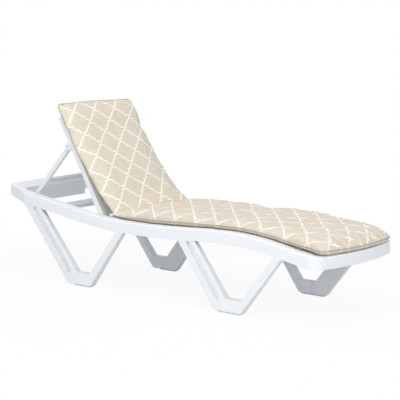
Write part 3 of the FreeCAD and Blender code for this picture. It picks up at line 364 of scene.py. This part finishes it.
def cloth_material(name, settings, half_width, plain=False):
    """Woven cloth on the cushion's own UV map: printed with the trellis and with painted shade along the
    side seam, or plain and darkened with painted shade for the seam.
    """
    material, nodes, links, shader = new_material(name)
    split = nodes.new("ShaderNodeSeparateXYZ")
    links.new(coordinates(nodes, links, "UV"), split.inputs["Vector"])
    across, along = split.outputs["X"], split.outputs["Y"]
    slub = noise(nodes, links, coordinates(nodes, links, "UV", (60.0, 900.0, 1.0)), 1.0, 3.0)
    slub_two = noise(nodes, links, coordinates(nodes, links, "UV", (900.0, 60.0, 1.0)), 1.0, 3.0)
    threads = math_node(nodes, links, "ADD", slub, slub_two)
    if plain:
        # Painted shade: the seam's plain cloth is the ground darkened to between half and two thirds, for
        # the shadow line along the seam.
        colour = mix_colour(nodes, links, slub, shade(settings.ground, 0.50), shade(settings.ground, 0.68))
    else:
        fade = noise(nodes, links, coordinates(nodes, links, "Object"), 7.0, 4.0)
        ground = mix_colour(nodes, links, fade, shade(settings.ground, 0.95), shade(settings.ground, 1.05))
        ground = mix_colour(nodes, links, spread_range(nodes, links, threads, 0.8, 1.2, 0.0, 0.22),
                            ground, shade(settings.ground, 0.84))
        ink = mix_colour(nodes, links, slub, shade(settings.line, 0.96), shade(settings.line, 1.03))
        printed = trellis(nodes, links, settings, across, along, threads)
        colour = mix_colour(nodes, links, printed, ground, ink)
        # Painted shade: the cloth darkens towards the side seam, where the side turns down away from the
        # light.
        aside = math_node(nodes, links, "ABSOLUTE", across)
        edge = spread_range(nodes, links, aside, half_width - SEAM_SIDE_PAINTED_SHADE[0], half_width + SEAM_SIDE_PAINTED_SHADE[1],
                            0.0, SEAM_SIDE_PAINTED_SHADE[2], smooth=True)
        colour = mix_colour(nodes, links, edge, colour, shade(settings.ground, 0.74))
    links.new(colour, shader.inputs["Base Color"])
    links.new(weave_normal(nodes, links, settings, across, along, threads), shader.inputs["Normal"])
    shader.inputs["Roughness"].default_value = 0.88
    shader.inputs["Specular IOR Level"].default_value = 0.22
    shader.inputs["Sheen Weight"].default_value = 0.18
    shader.inputs["Sheen Roughness"].default_value = 0.5
    return material


# ---------------------------------------------------------------- cushion shape
def backrest_frame():
    """Unit vectors along the backrest and out of its front, its length and its half depth."""
    low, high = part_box("back_slat_1")
    low_4, high_4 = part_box("back_slat_4")
    run = Vector(low_4) + Vector(high_4) - Vector(low) - Vector(high)
    along = Vector((run.x, 0.0, run.z)).normalized()
    out = Vector((along.z, 0.0, -along.x))
    rail = frame["nodes"]["back_rail_right"].data.vertices
    length = max((v.co - HINGE).dot(along) for v in rail)
    half_depth = max((v.co - HINGE).dot(out) for v in rail)
    return along, out, length, half_depth


def support_height(x):
    """Height of the cushion's underside on the slats at x, or nothing beyond its ends."""
    for name in ("cushion_seat", "cushion_foot"):
        hit, place, _, _ = frame["nodes"][name].ray_cast(Vector((x, 0.1, 0.0)), Vector((0.0, 0.0, 1.0)))
        if hit:
            return place.z
    return None


def ease(x):
    x = np.clip(x, 0.0, 1.0)
    return x * x * (3.0 - 2.0 * x)


def dome(x):
    """Quarter-round rise from 0 to 1."""
    x = np.clip(x, 0.0, 1.0)
    return np.sqrt(1.0 - (1.0 - x) ** 2)


def bell(x, width):
    return np.exp(-(x / width) ** 2)


# The cushion in side view. On the backrest: distance from the hinge, then the heights over the
# backrest's face of its side seam, of its crown and of its underside.
BACK_STATIONS = ((0.590, 0.013, 0.020, 0.003), (0.555, 0.015, 0.036, 0.001), (0.500, 0.013, 0.043, 0.001),
                 (0.407, 0.010, 0.045, 0.001), (0.300, 0.020, 0.055, 0.006), (0.200, 0.032, 0.065, 0.015),
                 (0.125, 0.043, 0.073, 0.024), (0.067, 0.055, 0.079, 0.034), (0.022, 0.063, 0.080, 0.040))
# On the slats: x, then the same three heights over the slats.
SEAT_STATIONS = ((-0.262, 0.006, 0.019, 0.0), (-0.215, 0.010, 0.031, 0.0), (-0.150, 0.014, 0.048, 0.0),
                 (-0.030, 0.017, 0.057, 0.0), (0.100, 0.018, 0.055, 0.0), (0.220, 0.018, 0.047, 0.0),
                 (0.303, 0.015, 0.030, 0.0), (0.380, 0.017, 0.038, 0.0), (0.550, 0.018, 0.041, 0.0),
                 (0.700, 0.019, 0.047, 0.001), (0.760, 0.020, 0.054, 0.002), (0.810, 0.022, 0.061, 0.003),
                 (0.870, 0.023, 0.063, 0.003), (0.930, 0.022, 0.054, 0.001), (0.985, 0.020, 0.045, 0.001))
FOLD_X = -0.262        # where the seat section meets the back section
CREASE_X = 0.303       # crease between the seat and foot sections
END_X = 0.945          # foot end, before its middle bows out
VIEW_STEP = 0.004      # spacing of the points of the side view
EDGE_STEPS = (0.0, 0.0022, 0.0055, 0.010, 0.016)   # mesh rows that crowd to the side seam
CREASE_REACH = 0.10    # the skew reaches this far from the crease
SKEW_REACH = 0.11      # the skew reaches this far from the fold
ASKEW_REACH = 0.045    # the fold's further skew, on the far side, reaches this far from it
CROWN_SHARES = (0.42, 0.58)    # shares of the crown's rise over the lip and over the shoulder
CORNER_PINCH = (0.30, 0.045)   # how much lower the cushion is at a corner, and how far in
BACK_TUCK = 0.065      # reach of the underside's rounding on the backrest
FOLD_PULL = (0.010, 0.05)      # how far the sides draw in at the fold, and its reach
CREASE_PULL = (0.005, 0.035)   # and at the crease
WAIST = (0.17, 0.005, 0.03)    # a waist on the backrest: its place from the top, depth and reach
SIDE_WAVES = ((0.0015, 31.0, 0.0), (0.0010, 67.0, 1.0))   # slack of the sides: height, rate, phase
FOOT_BOW = (0.24, 0.007)       # reach of the foot end's bow, and how much further out its far side is
DROOP_REACH = 0.16             # how far down from the top the far corner's droop reaches
FOLD_HEIGHTS = (0.0019, 0.0014)    # soft folds along the cushion: the narrow and the broad ones
FOLD_EDGE = 0.06               # they fade out this near the edges
BACK_FOLDS = 0.25              # share of them that is left on the backrest
GATHER_HEIGHT = 0.0015         # puckers beside the side seam
GATHER_PLACE = (0.008, 0.010)  # their distance from the seam and their reach
SLOT_REACH = 0.026             # how far in from the sides the underside stands off
FOOT_SLOT = (1.6, 0.10, 0.09)  # it stands off more near the foot end: how much, where and its reach
HEAD_ROLL = 0.06       # lengths beside the ends over which the cloth's own length is counted
FOOT_ROLL = 0.12

# The cover is swollen by a short cloth simulation.
COVER_FRAMES = 20
COVER_PRESSURE = 2.4
COVER_LIMIT = 0.006    # furthest that any point may move

# Pocket over the top rail: its cloth off the rail's front, rear and end, its fold and its thickness.
POCKET_FRONT = 0.0050
POCKET_REAR = 0.0030
POCKET_END = 0.0040
POCKET_FOLD = 0.006
POCKET_WALL = 0.0016


class CushionForm:
    """Maps the flat cushion (across, along) to the lounger."""

    def __init__(self, settings):
        self.settings = settings
        along, out, _, half_depth = backrest_frame()
        rows = []
        for a, seam, crown, under in BACK_STATIONS:
            p = HINGE + along * a + out * (half_depth + seam)
            rows.append((p.x, p.z, crown - seam, seam - under, 0.0))
        level = []
        for x in np.arange(FOLD_X, SEAT_STATIONS[-1][0] + 0.001, settings.step):
            z = support_height(float(x))
            if z is not None:
                level.append((float(x), z))
        level = np.array(level)
        ahead = (level[-1] - level[-6]) / (level[-1, 0] - level[-6, 0])
        seat = np.array(SEAT_STATIONS)
        for x in np.arange(FOLD_X, seat[-1, 0] + 0.001, settings.step):
            over = max(0.0, x - level[-1, 0])
            base = float(np.interp(x, level[:, 0], level[:, 1])) + over * ahead[1]
            seam, crown, under = (float(np.interp(x, seat[:, 0], seat[:, k])) for k in (1, 2, 3))
            rows.append((float(x), base + seam, crown - seam, seam - under, 1.0))
        rows = np.array(rows)
        gaps = np.hypot(*np.diff(rows[:, :2], axis=0).T)
        travel = np.concatenate([[0.0], np.cumsum(gaps)])
        fine = np.arange(0.0, travel[-1], VIEW_STEP)
        table = np.stack([np.interp(fine, travel, rows[:, k]) for k in range(5)], axis=1)
        for _ in range(settings.rounding):
            table[1:-1] = 0.25 * table[:-2] + 0.5 * table[1:-1] + 0.25 * table[2:]
        self.table = table
        self.even = np.concatenate([[0.0], np.cumsum(np.hypot(*np.diff(table[:, :2], axis=0).T))])
        tangent = np.gradient(table[:, :2], self.even, axis=0)
        tangent /= np.linalg.norm(tangent, axis=1)[:, None]
        self.normal = np.stack([-tangent[:, 1], tangent[:, 0]], axis=1)
        on_seat = table[:, 4] > 0.5
        self.fold = float(self.even[np.argmax(on_seat)])
        self.crease = float(np.interp(CREASE_X, table[on_seat, 0], self.even[on_seat]))
        self.length = float(np.interp(END_X, table[on_seat, 0], self.even[on_seat]))

    def half_width(self, s):
        """Half width at s: rounded corners, drawn in at the waist, the fold and the crease."""
        c = self.settings
        to_end = np.minimum(s, self.length - s)
        inset = c.corner - np.sqrt(np.maximum(0.0, c.corner ** 2 - np.maximum(0.0, c.corner - to_end) ** 2))
        pull = (FOLD_PULL[0] * bell(s - self.fold, FOLD_PULL[1])
                + CREASE_PULL[0] * bell(s - self.crease, CREASE_PULL[1]))
        slack = sum(height * np.sin(s * rate + phase) for height, rate, phase in SIDE_WAVES)
        waist = WAIST[1] * bell(s - WAIST[0], WAIST[2])
        return c.half_width - inset - pull - waist + slack * ease(to_end / 0.1)

    def shifted(self, y, s):
        """Places along the side view of points at s: the foot end bows out, a top corner droops."""
        c = self.settings
        share = y / c.half_width
        bow = c.bow * (1.0 - share ** 2) + FOOT_BOW[1] * share
        at = s + bow * ease((s - self.length) / FOOT_BOW[0] + 1.0)
        return at + c.droop * ease((share + 0.3) / 1.3) * ease(1.0 - s / DROOP_REACH)

    def folds(self, y, s, side, end):
        """Soft folds along the cushion, weaker on the backrest."""
        seat = ease((s - self.fold) / 0.08)
        wave = np.sin(y * 118.0 + 1.4 * np.sin(s * 5.1) + 0.8 * np.sin(s * 13.0 + y * 9.0))
        ripple = np.sin(y * 61.0 - 2.0 * np.sin(s * 3.7 + 1.0))
        folds = FOLD_HEIGHTS[0] * wave + FOLD_HEIGHTS[1] * ripple
        folds = folds * dome(side / FOLD_EDGE) * dome(end / FOLD_EDGE)
        return folds * (BACK_FOLDS + (1.0 - BACK_FOLDS) * seat)

    def gathers(self, s, side, end):
        """Short puckers beside the side seam."""
        gather = np.sin(s * 190.0 + 2.0 * np.sin(s * 23.0)) + 0.7 * np.sin(s * 83.0 + 3.0 * np.sin(s * 9.0))
        place, reach = GATHER_PLACE
        return GATHER_HEIGHT * gather * bell(side - place, reach) * dome(end / 0.04)

    def layers(self, y, s, half):
        """Heights of the top and of the underside over the seam, and the shifted position."""
        c = self.settings
        at = self.shifted(y, s)
        skewed = at - c.skew * (y / c.half_width) * bell(s - self.crease, CREASE_REACH)
        top = np.interp(skewed, self.even, self.table[:, 2])
        drop = np.interp(at, self.even, self.table[:, 3])
        side = half - abs(y)
        end = np.minimum(s, self.length - s)
        crown = 0.0
        for reach, part in zip((c.lip, c.shoulder), CROWN_SHARES):
            crown = crown + part * dome(side / reach) * dome(end / reach)
        pinch = 1.0 - CORNER_PINCH[0] * bell(np.hypot(side, end), CORNER_PINCH[1])
        more, place, reach = FOOT_SLOT
        stand = c.slot * (1.0 + more * bell(s - self.length + place, reach)) * bell(side, SLOT_REACH)
        tuck = c.lip + (BACK_TUCK - c.lip) * ease((self.fold - s) / 0.05 + 0.5) * ease((s - 0.05) / 0.2)
        under = dome(side / tuck) * dome(end / c.lip)
        height = top * crown * pinch + self.folds(y, s, side, end) + self.gathers(s, side, end)
        return height, -np.maximum(0.0, drop - stand) * under, at

    def place(self, y, at, height):
        """World points of arrays of across, along and height over the seam."""
        x, z, nx, nz = (np.interp(at, self.even, column) for column in
                        (self.table[:, 0], self.table[:, 1], self.normal[:, 0], self.normal[:, 1]))
        size = np.hypot(nx, nz)
        c = self.settings
        far = 0.5 * (1.0 + y / c.half_width)
        past = at - self.fold
        turn = far * (c.skew * bell(past, SKEW_REACH) + c.askew * bell(past, ASKEW_REACH))
        return np.stack([x + turn + nx / size * height, y, z + nz / size * height], axis=-1)


def cloth_layout(form, upper, Y, S):
    """Flat cloth coordinates: true lengths over the sides and over both ends of the cushion."""
    across = np.linalg.norm(np.diff(upper, axis=1), axis=-1)
    across = np.concatenate([np.zeros((len(S), 1)), np.cumsum(across, axis=1)], axis=1)
    middle = across.shape[1] // 2
    share = -Y[:, middle - 1] / (Y[:, middle] - Y[:, middle - 1])
    centre = across[:, middle - 1] + share * (across[:, middle] - across[:, middle - 1])
    across = across - centre[:, None]
    extra = np.linalg.norm(np.diff(upper, axis=0), axis=-1) - np.diff(S, axis=0)
    between = 0.5 * (S[1:] + S[:-1])
    foot = np.where(between > form.length - FOOT_ROLL, extra, 0.0)
    head = np.where(between < HEAD_ROLL, extra, 0.0)
    zero = np.zeros((1, S.shape[1]))
    longer = np.concatenate([zero, np.cumsum(foot, axis=0)])
    longer = longer + np.concatenate([zero, np.cumsum(head, axis=0)]) - np.sum(head, axis=0)
    top_uv = np.stack([across, S + longer], axis=-1)
    width = np.maximum(np.abs(Y[:, :1]), 1e-6)
    under_uv = np.stack([Y / width * np.abs(across[:, :1]), S + longer], axis=-1)
    return top_uv, under_uv


def cushion_mesh(form):
    """Top and underside grids that meet in one side seam; points, faces, UVs, seam ring and pins."""
    c = form.settings
    edge_steps = np.array(EDGE_STEPS)
    inner = EDGE_STEPS[-1]
    count = int(round((form.length - 2.0 * inner) / c.step))
    s_rows = np.concatenate([edge_steps[:-1], np.linspace(inner, form.length - inner, count + 1),
                             form.length - edge_steps[-2::-1]])
    width = 2.0 * c.half_width
    steps = np.concatenate([edge_steps[:-1], np.linspace(inner, width - inner, int(round(width / c.step))),
                            width - edge_steps[-2::-1]])
    S, U = np.meshgrid(s_rows, steps / c.half_width - 1.0, indexing="ij")
    half = form.half_width(S)
    Y = U * half
    top, under, at = form.layers(Y, S, half)
    rows, cols = S.shape
    index = np.arange(rows * cols).reshape(rows, cols)
    below = index.copy()
    below[1:-1, 1:-1] = rows * cols + np.arange((rows - 2) * (cols - 2)).reshape(rows - 2, cols - 2)
    upper = form.place(Y, at, top)
    vertices = np.concatenate([upper.reshape(-1, 3), form.place(Y, at, under)[1:-1, 1:-1].reshape(-1, 3)])
    top_uv, under_uv = cloth_layout(form, upper, Y, S)
    uv_of = np.concatenate([top_uv.reshape(-1, 2), under_uv[1:-1, 1:-1].reshape(-1, 2)])
    faces = []
    for i in range(rows - 1):
        for j in range(cols - 1):
            corners = ((i, j), (i, j + 1), (i + 1, j + 1), (i + 1, j))
            faces.append([int(index[k]) for k in corners])
            faces.append([int(below[k]) for k in reversed(corners)])
    face_uv = [[uv_of[k] for k in face] for face in faces]
    ring = ([index[0, j] for j in range(cols)] + [index[i, cols - 1] for i in range(1, rows)]
            + [index[rows - 1, j] for j in range(cols - 2, -1, -1)]
            + [index[i, 0] for i in range(rows - 2, 0, -1)])
    pinned = np.zeros(len(vertices))
    pinned[rows * cols:] = 1.0
    pinned[ring] = 1.0
    return vertices, faces, face_uv, ring, pinned


def pocket_mesh(form):
    """Sheet that wraps the backrest's top rail: from under the cushion, over its end and down behind."""
    c = form.settings
    along, out, length, half_depth = backrest_frame()
    near, behind = half_depth + POCKET_FRONT, -half_depth - POCKET_REAR
    over = length + POCKET_END
    turn = POCKET_FOLD
    arc = np.linspace(0.0, math.pi / 2.0, 7)
    path = [(over, v) for v in np.linspace(near, behind + turn, 6)]
    path += [(over - turn + turn * math.cos(t), behind + turn - turn * math.sin(t)) for t in arc[1:]]
    path += [(v, behind) for v in np.linspace(over - turn, over - c.pocket, 12)[1:]]
    path = np.array(path)
    travel = np.concatenate([[0.0], np.cumsum(np.hypot(*np.diff(path, axis=0).T))])
    _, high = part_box("back_top_rail")
    half = high[1] - c.pocket_side
    across = np.linspace(-half, half, 45)
    rows, cols = len(path), len(across)
    points = np.zeros((rows, cols, 3))
    for i, (a, o) in enumerate(path):
        low_share = ease((travel[i] - 0.03) / 0.05)
        scallop = low_share * (0.0012 * np.sin(across * 62.0) + 0.0006 * np.sin(across * 143.0))
        drawn = across * (1.0 - 0.012 * low_share)
        points[i] = (np.array(HINGE) + np.outer(np.full(cols, a), np.array(along))
                     + np.outer(o + scallop - 0.0012 * low_share, np.array(out)))
        points[i, :, 1] = drawn
    index = np.arange(rows * cols).reshape(rows, cols)
    faces, face_uv = [], []
    for i in range(rows - 1):
        for j in range(cols - 1):
            corners = ((i, j), (i + 1, j), (i + 1, j + 1), (i, j + 1))
            faces.append([int(index[k]) for k in corners])
            face_uv.append([(across[k[1]], -travel[k[0]]) for k in corners])
    return points.reshape(-1, 3), faces, face_uv


def add_mesh(name, vertices, faces, face_uv=None):
    """Object at the origin from points, faces and each face's UVs."""
    mesh = bpy.data.meshes.new(name)
    mesh.from_pydata([tuple(v) for v in vertices], [], [tuple(int(k) for k in f) for f in faces])
    if face_uv is not None:
        layer = mesh.uv_layers.new(name="layout")
        flat = np.array([c for f in face_uv for c in f], dtype=np.float32).reshape(-1)
        layer.data.foreach_set("uv", flat)
    mesh.update()
    obj = bpy.data.objects.new(name, mesh)
    bpy.context.scene.collection.objects.link(obj)
    return obj


def select_only(obj):
    bpy.ops.object.select_all(action="DESELECT")
    obj.select_set(True)
    bpy.context.view_layer.objects.active = obj


def positions(mesh):
    """Points of a mesh as an array."""
    points = np.empty(len(mesh.vertices) * 3)
    mesh.vertices.foreach_get("co", points)
    return points.reshape(-1, 3)


def inflate(obj, pinned, limit):
    """Swell the cover with pressure, its seams held, and cap how far any point moves."""
    group = obj.vertex_groups.new(name="seams")
    for k in np.where(pinned > 0.5)[0]:
        group.add([int(k)], 1.0, "REPLACE")
    before = positions(obj.data)
    cloth = obj.modifiers.new("cover", "CLOTH")
    cloth.settings.quality = 6
    cloth.settings.mass = 0.25
    cloth.settings.tension_stiffness = 12.0
    cloth.settings.compression_stiffness = 12.0
    cloth.settings.shear_stiffness = 4.0
    cloth.settings.bending_stiffness = 0.12
    cloth.settings.use_pressure = True
    cloth.settings.uniform_pressure_force = COVER_PRESSURE
    cloth.settings.shrink_min = -0.028
    cloth.settings.vertex_group_mass = "seams"
    cloth.settings.effector_weights.gravity = 0.0
    cloth.collision_settings.use_collision = False
    cloth.collision_settings.use_self_collision = False
    cloth.point_cache.frame_start = 1
    cloth.point_cache.frame_end = COVER_FRAMES
    scene = bpy.context.scene
    scene.frame_start, scene.frame_end = 1, COVER_FRAMES
    for number in range(1, COVER_FRAMES + 1):
        scene.frame_set(number)
        bpy.context.view_layer.update()
    shaped = obj.evaluated_get(bpy.context.evaluated_depsgraph_get())
    after = positions(shaped.data)
    obj.modifiers.remove(cloth)
    scene.frame_set(1)
    move = after - before
    size = np.linalg.norm(move, axis=1)
    keep = np.where(size > limit, limit / np.maximum(size, 1e-9), 1.0)
    obj.data.vertices.foreach_set("co", (before + move * keep[:, None]).reshape(-1))
    obj.data.update()


def tube_along(name, points, radius, sides=8):
    """Closed tube round a loop of points."""
    count = len(points)
    ahead = np.roll(points, -1, axis=0) - np.roll(points, 1, axis=0)
    ahead /= np.linalg.norm(ahead, axis=1)[:, None]
    up = np.tile(np.array([0.0, 0.0, 1.0]), (count, 1))
    first = np.cross(ahead, up)
    first /= np.linalg.norm(first, axis=1)[:, None]
    second = np.cross(first, ahead)
    vertices = []
    travel = np.concatenate([[0.0], np.cumsum(np.linalg.norm(np.diff(points, axis=0), axis=1))])
    for k in range(sides):
        angle = 2.0 * math.pi * k / sides
        vertices.append(points + radius * (math.cos(angle) * first + math.sin(angle) * second))
    vertices = np.concatenate(vertices)
    faces, face_uv = [], []
    for k in range(sides):
        n = (k + 1) % sides
        for i in range(count):
            j = (i + 1) % count
            faces.append((k * count + i, k * count + j, n * count + j, n * count + i))
            t, low, high = travel[i], 0.001 * k, 0.001 * k + 0.001
            face_uv.append([(t, low), (t + 0.01, low), (t + 0.01, high), (t, high)])
    return add_mesh(name, vertices, faces, face_uv)


def outward(obj):
    """Make all faces point outwards."""
    work = bmesh.new()
    work.from_mesh(obj.data)
    bmesh.ops.recalc_face_normals(work, faces=work.faces)
    work.to_mesh(obj.data)
    work.free()
    obj.data.update()


def smooth(obj):
    obj.data.polygons.foreach_set("use_smooth", [True] * len(obj.data.polygons))
    obj.data.update()


def make_cover(form):
    """The cushion's stuffed cover, and the points of its side seam."""
    vertices, faces, face_uv, ring, pinned = cushion_mesh(form)
    cushion = add_mesh("cushion", vertices, faces, face_uv)
    outward(cushion)
    inflate(cushion, pinned, COVER_LIMIT)
    points = positions(cushion.data)
    if not np.isfinite(points).all():
        raise RuntimeError("the cushion's cover did not settle")
    select_only(cushion)
    level = cushion.modifiers.new("finer", "SUBSURF")
    level.levels = level.render_levels = 1
    bpy.ops.object.modifier_apply(modifier=level.name)
    smooth(cushion)
    return cushion, points[ring].copy()


def make_pocket(form):
    """The pocket's cloth, with its thickness."""
    points, faces, face_uv = pocket_mesh(form)
    pocket = add_mesh("cushion_pocket", points, faces, face_uv)
    select_only(pocket)
    wall = pocket.modifiers.new("cloth", "SOLIDIFY")
    wall.thickness = POCKET_WALL
    wall.offset = 0.0
    bpy.ops.object.modifier_apply(modifier=wall.name)
    outward(pocket)
    smooth(pocket)
    return pocket


# ---------------------------------------------------------------- studio
WHITE = (1.0, 1.0, 1.0, 1.0)
FLOOR_GREY = (0.80, 0.81, 0.83, 1.0)
ROOM_BLUE = (0.86, 0.92, 1.0, 1.0)
FLOOR_DROP = 0.0005              # floor below the foot pads
SHADOW_RING = (1.1, 2.0)         # the floor's shadow fades out between these distances
FOOT_SHARE = 0.72                # power of the lamp at the foot end, as a share of the fill
LAMP_AIM = (0.0, 0.0, 0.3)
CAMERA_PLACE = (4.86586, -5.69999, 1.60793)
CAMERA_LOOK = (-0.63685, 0.75501, -0.15616)


def background_rays(nodes, links):
    """1 for rays from the camera, from gloss and through glass, else 0."""
    path = nodes.new("ShaderNodeLightPath")
    seen = math_node(nodes, links, "MAXIMUM", path.outputs["Is Camera Ray"], path.outputs["Is Glossy Ray"])
    return math_node(nodes, links, "MAXIMUM", seen, path.outputs["Is Transmission Ray"])


def mix_shaders(nodes, links, factor, first, second):
    node = nodes.new("ShaderNodeMixShader")
    links.new(factor, node.inputs["Fac"])
    links.new(first, node.inputs[1])
    links.new(second, node.inputs[2])
    return node.outputs["Shader"]


def floor_material(settings):
    """Floor that lights the object as pale grey and looks white, with the object's shadow near it."""
    material = bpy.data.materials.new("pale floor")
    material.use_nodes = True
    nodes, links = material.node_tree.nodes, material.node_tree.links
    nodes.clear()
    output = nodes.new("ShaderNodeOutputMaterial")
    diffuse = nodes.new("ShaderNodeBsdfDiffuse")
    diffuse.inputs["Color"].default_value = FLOOR_GREY
    glow = nodes.new("ShaderNodeEmission")
    glow.inputs["Color"].default_value = WHITE
    glow.inputs["Strength"].default_value = 1.0
    middle = nodes.new("ShaderNodeVectorMath")
    middle.operation = "LENGTH"
    links.new(coordinates(nodes, links, "Object"), middle.inputs[0])
    near = spread_range(nodes, links, middle.outputs["Value"], *SHADOW_RING, settings.shadow, 0.0, True)
    shown = mix_shaders(nodes, links, near, glow.outputs["Emission"], diffuse.outputs["BSDF"])
    links.new(mix_shaders(nodes, links, background_rays(nodes, links), diffuse.outputs["BSDF"], shown),
              output.inputs["Surface"])
    return material


def studio_world(settings):
    """Room that lights the object softly and looks white."""
    world = bpy.data.worlds.new("studio")
    world.use_nodes = True
    nodes, links = world.node_tree.nodes, world.node_tree.links
    nodes.clear()
    output = nodes.new("ShaderNodeOutputWorld")
    shaders = []
    for colour, strength in ((ROOM_BLUE, settings.ambient), (WHITE, 1.0)):
        room = nodes.new("ShaderNodeBackground")
        room.inputs["Color"].default_value = colour
        room.inputs["Strength"].default_value = strength
        shaders.append(room.outputs["Background"])
    links.new(mix_shaders(nodes, links, background_rays(nodes, links), *shaders), output.inputs["Surface"])
    return world


def add_lamp(name, place, size, power, colour):
    bpy.ops.object.light_add(type="AREA", location=place)
    lamp = bpy.context.object
    lamp.name = name
    lamp.data.size = size
    lamp.data.energy = power
    lamp.data.color = colour
    lamp.rotation_euler = (Vector(LAMP_AIM) - Vector(place)).to_track_quat("-Z", "Y").to_euler()


# ---------------------------------------------------------------- operators
class LOUNGER_OT_resin(bpy.types.Operator):
    """Give the frame, legs, backrest and bail their moulded resin finish"""
    bl_idname = "lounger.resin"
    bl_label = "Resin finish"

    def execute(self, context):
        settings = context.scene.lounger_resin
        colour = tuple(settings.colour)
        finishes = {
            "frame_resin": resin_material("resin frame", settings, colour, settings.roughness, 0.12),
            "backrest_resin": resin_material("resin backrest", settings, shade(colour, 0.985),
                                             settings.roughness, 0.12),
            "bail_resin": resin_material("resin bail", settings, shade(colour, 0.97),
                                         settings.roughness - 0.04, 0.10),
            "hinge_nylon": resin_material("hinge nylon", settings, tuple(settings.nylon_colour), 0.32, 0.05),
            "wheel_plastic": resin_material("wheel plastic", settings, tuple(settings.wheel_colour),
                                            0.5, 0.2),
            "pad_rubber": rubber_material("pad rubber", tuple(settings.pad_colour)),
            "axle_steel": steel_material("axle steel"),
        }
        for entry in frame["record"]["subparts"]:
            node = frame["nodes"][entry["node"]]
            material = finishes.get(entry["material_slot"])
            if material is None:
                continue
            if not node.material_slots:
                node.data.materials.append(material)
            for slot in node.material_slots:
                slot.material = material
        return {"FINISHED"}


class LOUNGER_OT_cushion(bpy.types.Operator):
    """Make the long cushion: its stuffed cover, its rolled seam and the pocket behind its top"""
    bl_idname = "lounger.cushion"
    bl_label = "Cushion"

    def execute(self, context):
        settings = context.scene.lounger_cushion
        fabric = context.scene.lounger_fabric
        form = CushionForm(settings)
        cloth = cloth_material("trellis cloth", fabric, settings.half_width)
        # The seam's cloth is darkened with painted shade.
        painted_shade_seam_cloth = cloth_material("seam cloth with painted shade", fabric, settings.half_width, plain=True)
        cushion, seam_points = make_cover(form)
        cushion.data.materials.append(cloth)
        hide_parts("cushion_back", "cushion_seat", "cushion_foot")
        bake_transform(cushion)
        seam = tube_along("cushion_seam", seam_points, settings.seam)
        outward(seam)
        smooth(seam)
        seam.data.materials.append(painted_shade_seam_cloth)
        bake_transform(seam)
        pocket = make_pocket(form)
        pocket.data.materials.append(cloth)
        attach(pocket, "backrest")
        return {"FINISHED"}


class LOUNGER_OT_stage(bpy.types.Operator):
    """Set up the floor, the lights, the room and the camera"""
    bl_idname = "lounger.stage"
    bl_label = "Studio"

    def execute(self, context):
        settings = context.scene.lounger_stage
        scene = context.scene
        bpy.ops.object.select_all(action="DESELECT")
        bpy.ops.mesh.primitive_plane_add(size=60.0, location=(0.0, 0.0, -FLOOR_DROP))
        floor = context.object
        floor.name = "floor"
        floor.data.materials.append(floor_material(settings))
        scene.world = studio_world(settings)
        add_lamp("key", (0.6, -1.2, 3.4), 3.2, settings.key_power, (1.0, 0.985, 0.96))
        add_lamp("front", (0.8, -5.2, 1.5), 3.0, settings.fill_power, (0.97, 0.985, 1.0))
        add_lamp("foot", (4.6, -1.0, 1.6), 2.0, settings.fill_power * FOOT_SHARE, (0.98, 0.99, 1.0))
        turn = Vector(CAMERA_LOOK).to_track_quat("-Z", "Y").to_euler()
        bpy.ops.object.camera_add(location=CAMERA_PLACE, rotation=turn)
        camera = context.object
        camera.data.sensor_width = 36.0
        camera.data.lens = settings.lens
        camera.data.clip_end = 100.0
        scene.camera = camera
        scene.view_settings.view_transform = "Standard"
        return {"FINISHED"}


class LOUNGER_PT_panel(bpy.types.Panel):
    """Buttons for the lounger's pieces"""
    bl_label = "Sun lounger"
    bl_idname = "LOUNGER_PT_panel"
    bl_space_type = "VIEW_3D"
    bl_region_type = "UI"
    bl_category = "Lounger"

    def draw(self, context):
        column = self.layout.column()
        for operator in OPERATORS:
            column.operator(operator.bl_idname)


GROUPS = (("lounger_resin", LoungerResin), ("lounger_fabric", LoungerFabric),
          ("lounger_cushion", LoungerCushion), ("lounger_stage", LoungerStage))
OPERATORS = (LOUNGER_OT_resin, LOUNGER_OT_cushion, LOUNGER_OT_stage)


def register():
    for name, group in GROUPS:
        bpy.utils.register_class(group)
        setattr(bpy.types.Scene, name, bpy.props.PointerProperty(type=group))
    for operator in OPERATORS:
        bpy.utils.register_class(operator)
    bpy.utils.register_class(LOUNGER_PT_panel)


def unregister():
    bpy.utils.unregister_class(LOUNGER_PT_panel)
    for operator in reversed(OPERATORS):
        bpy.utils.unregister_class(operator)
    for name, group in reversed(GROUPS):
        delattr(bpy.types.Scene, name)
        bpy.utils.unregister_class(group)


def main():
    """Build every piece in order."""
    register()
    bpy.ops.lounger.resin()
    bpy.ops.lounger.cushion()
    bpy.ops.lounger.stage()


if __name__ == "__main__":
    main()
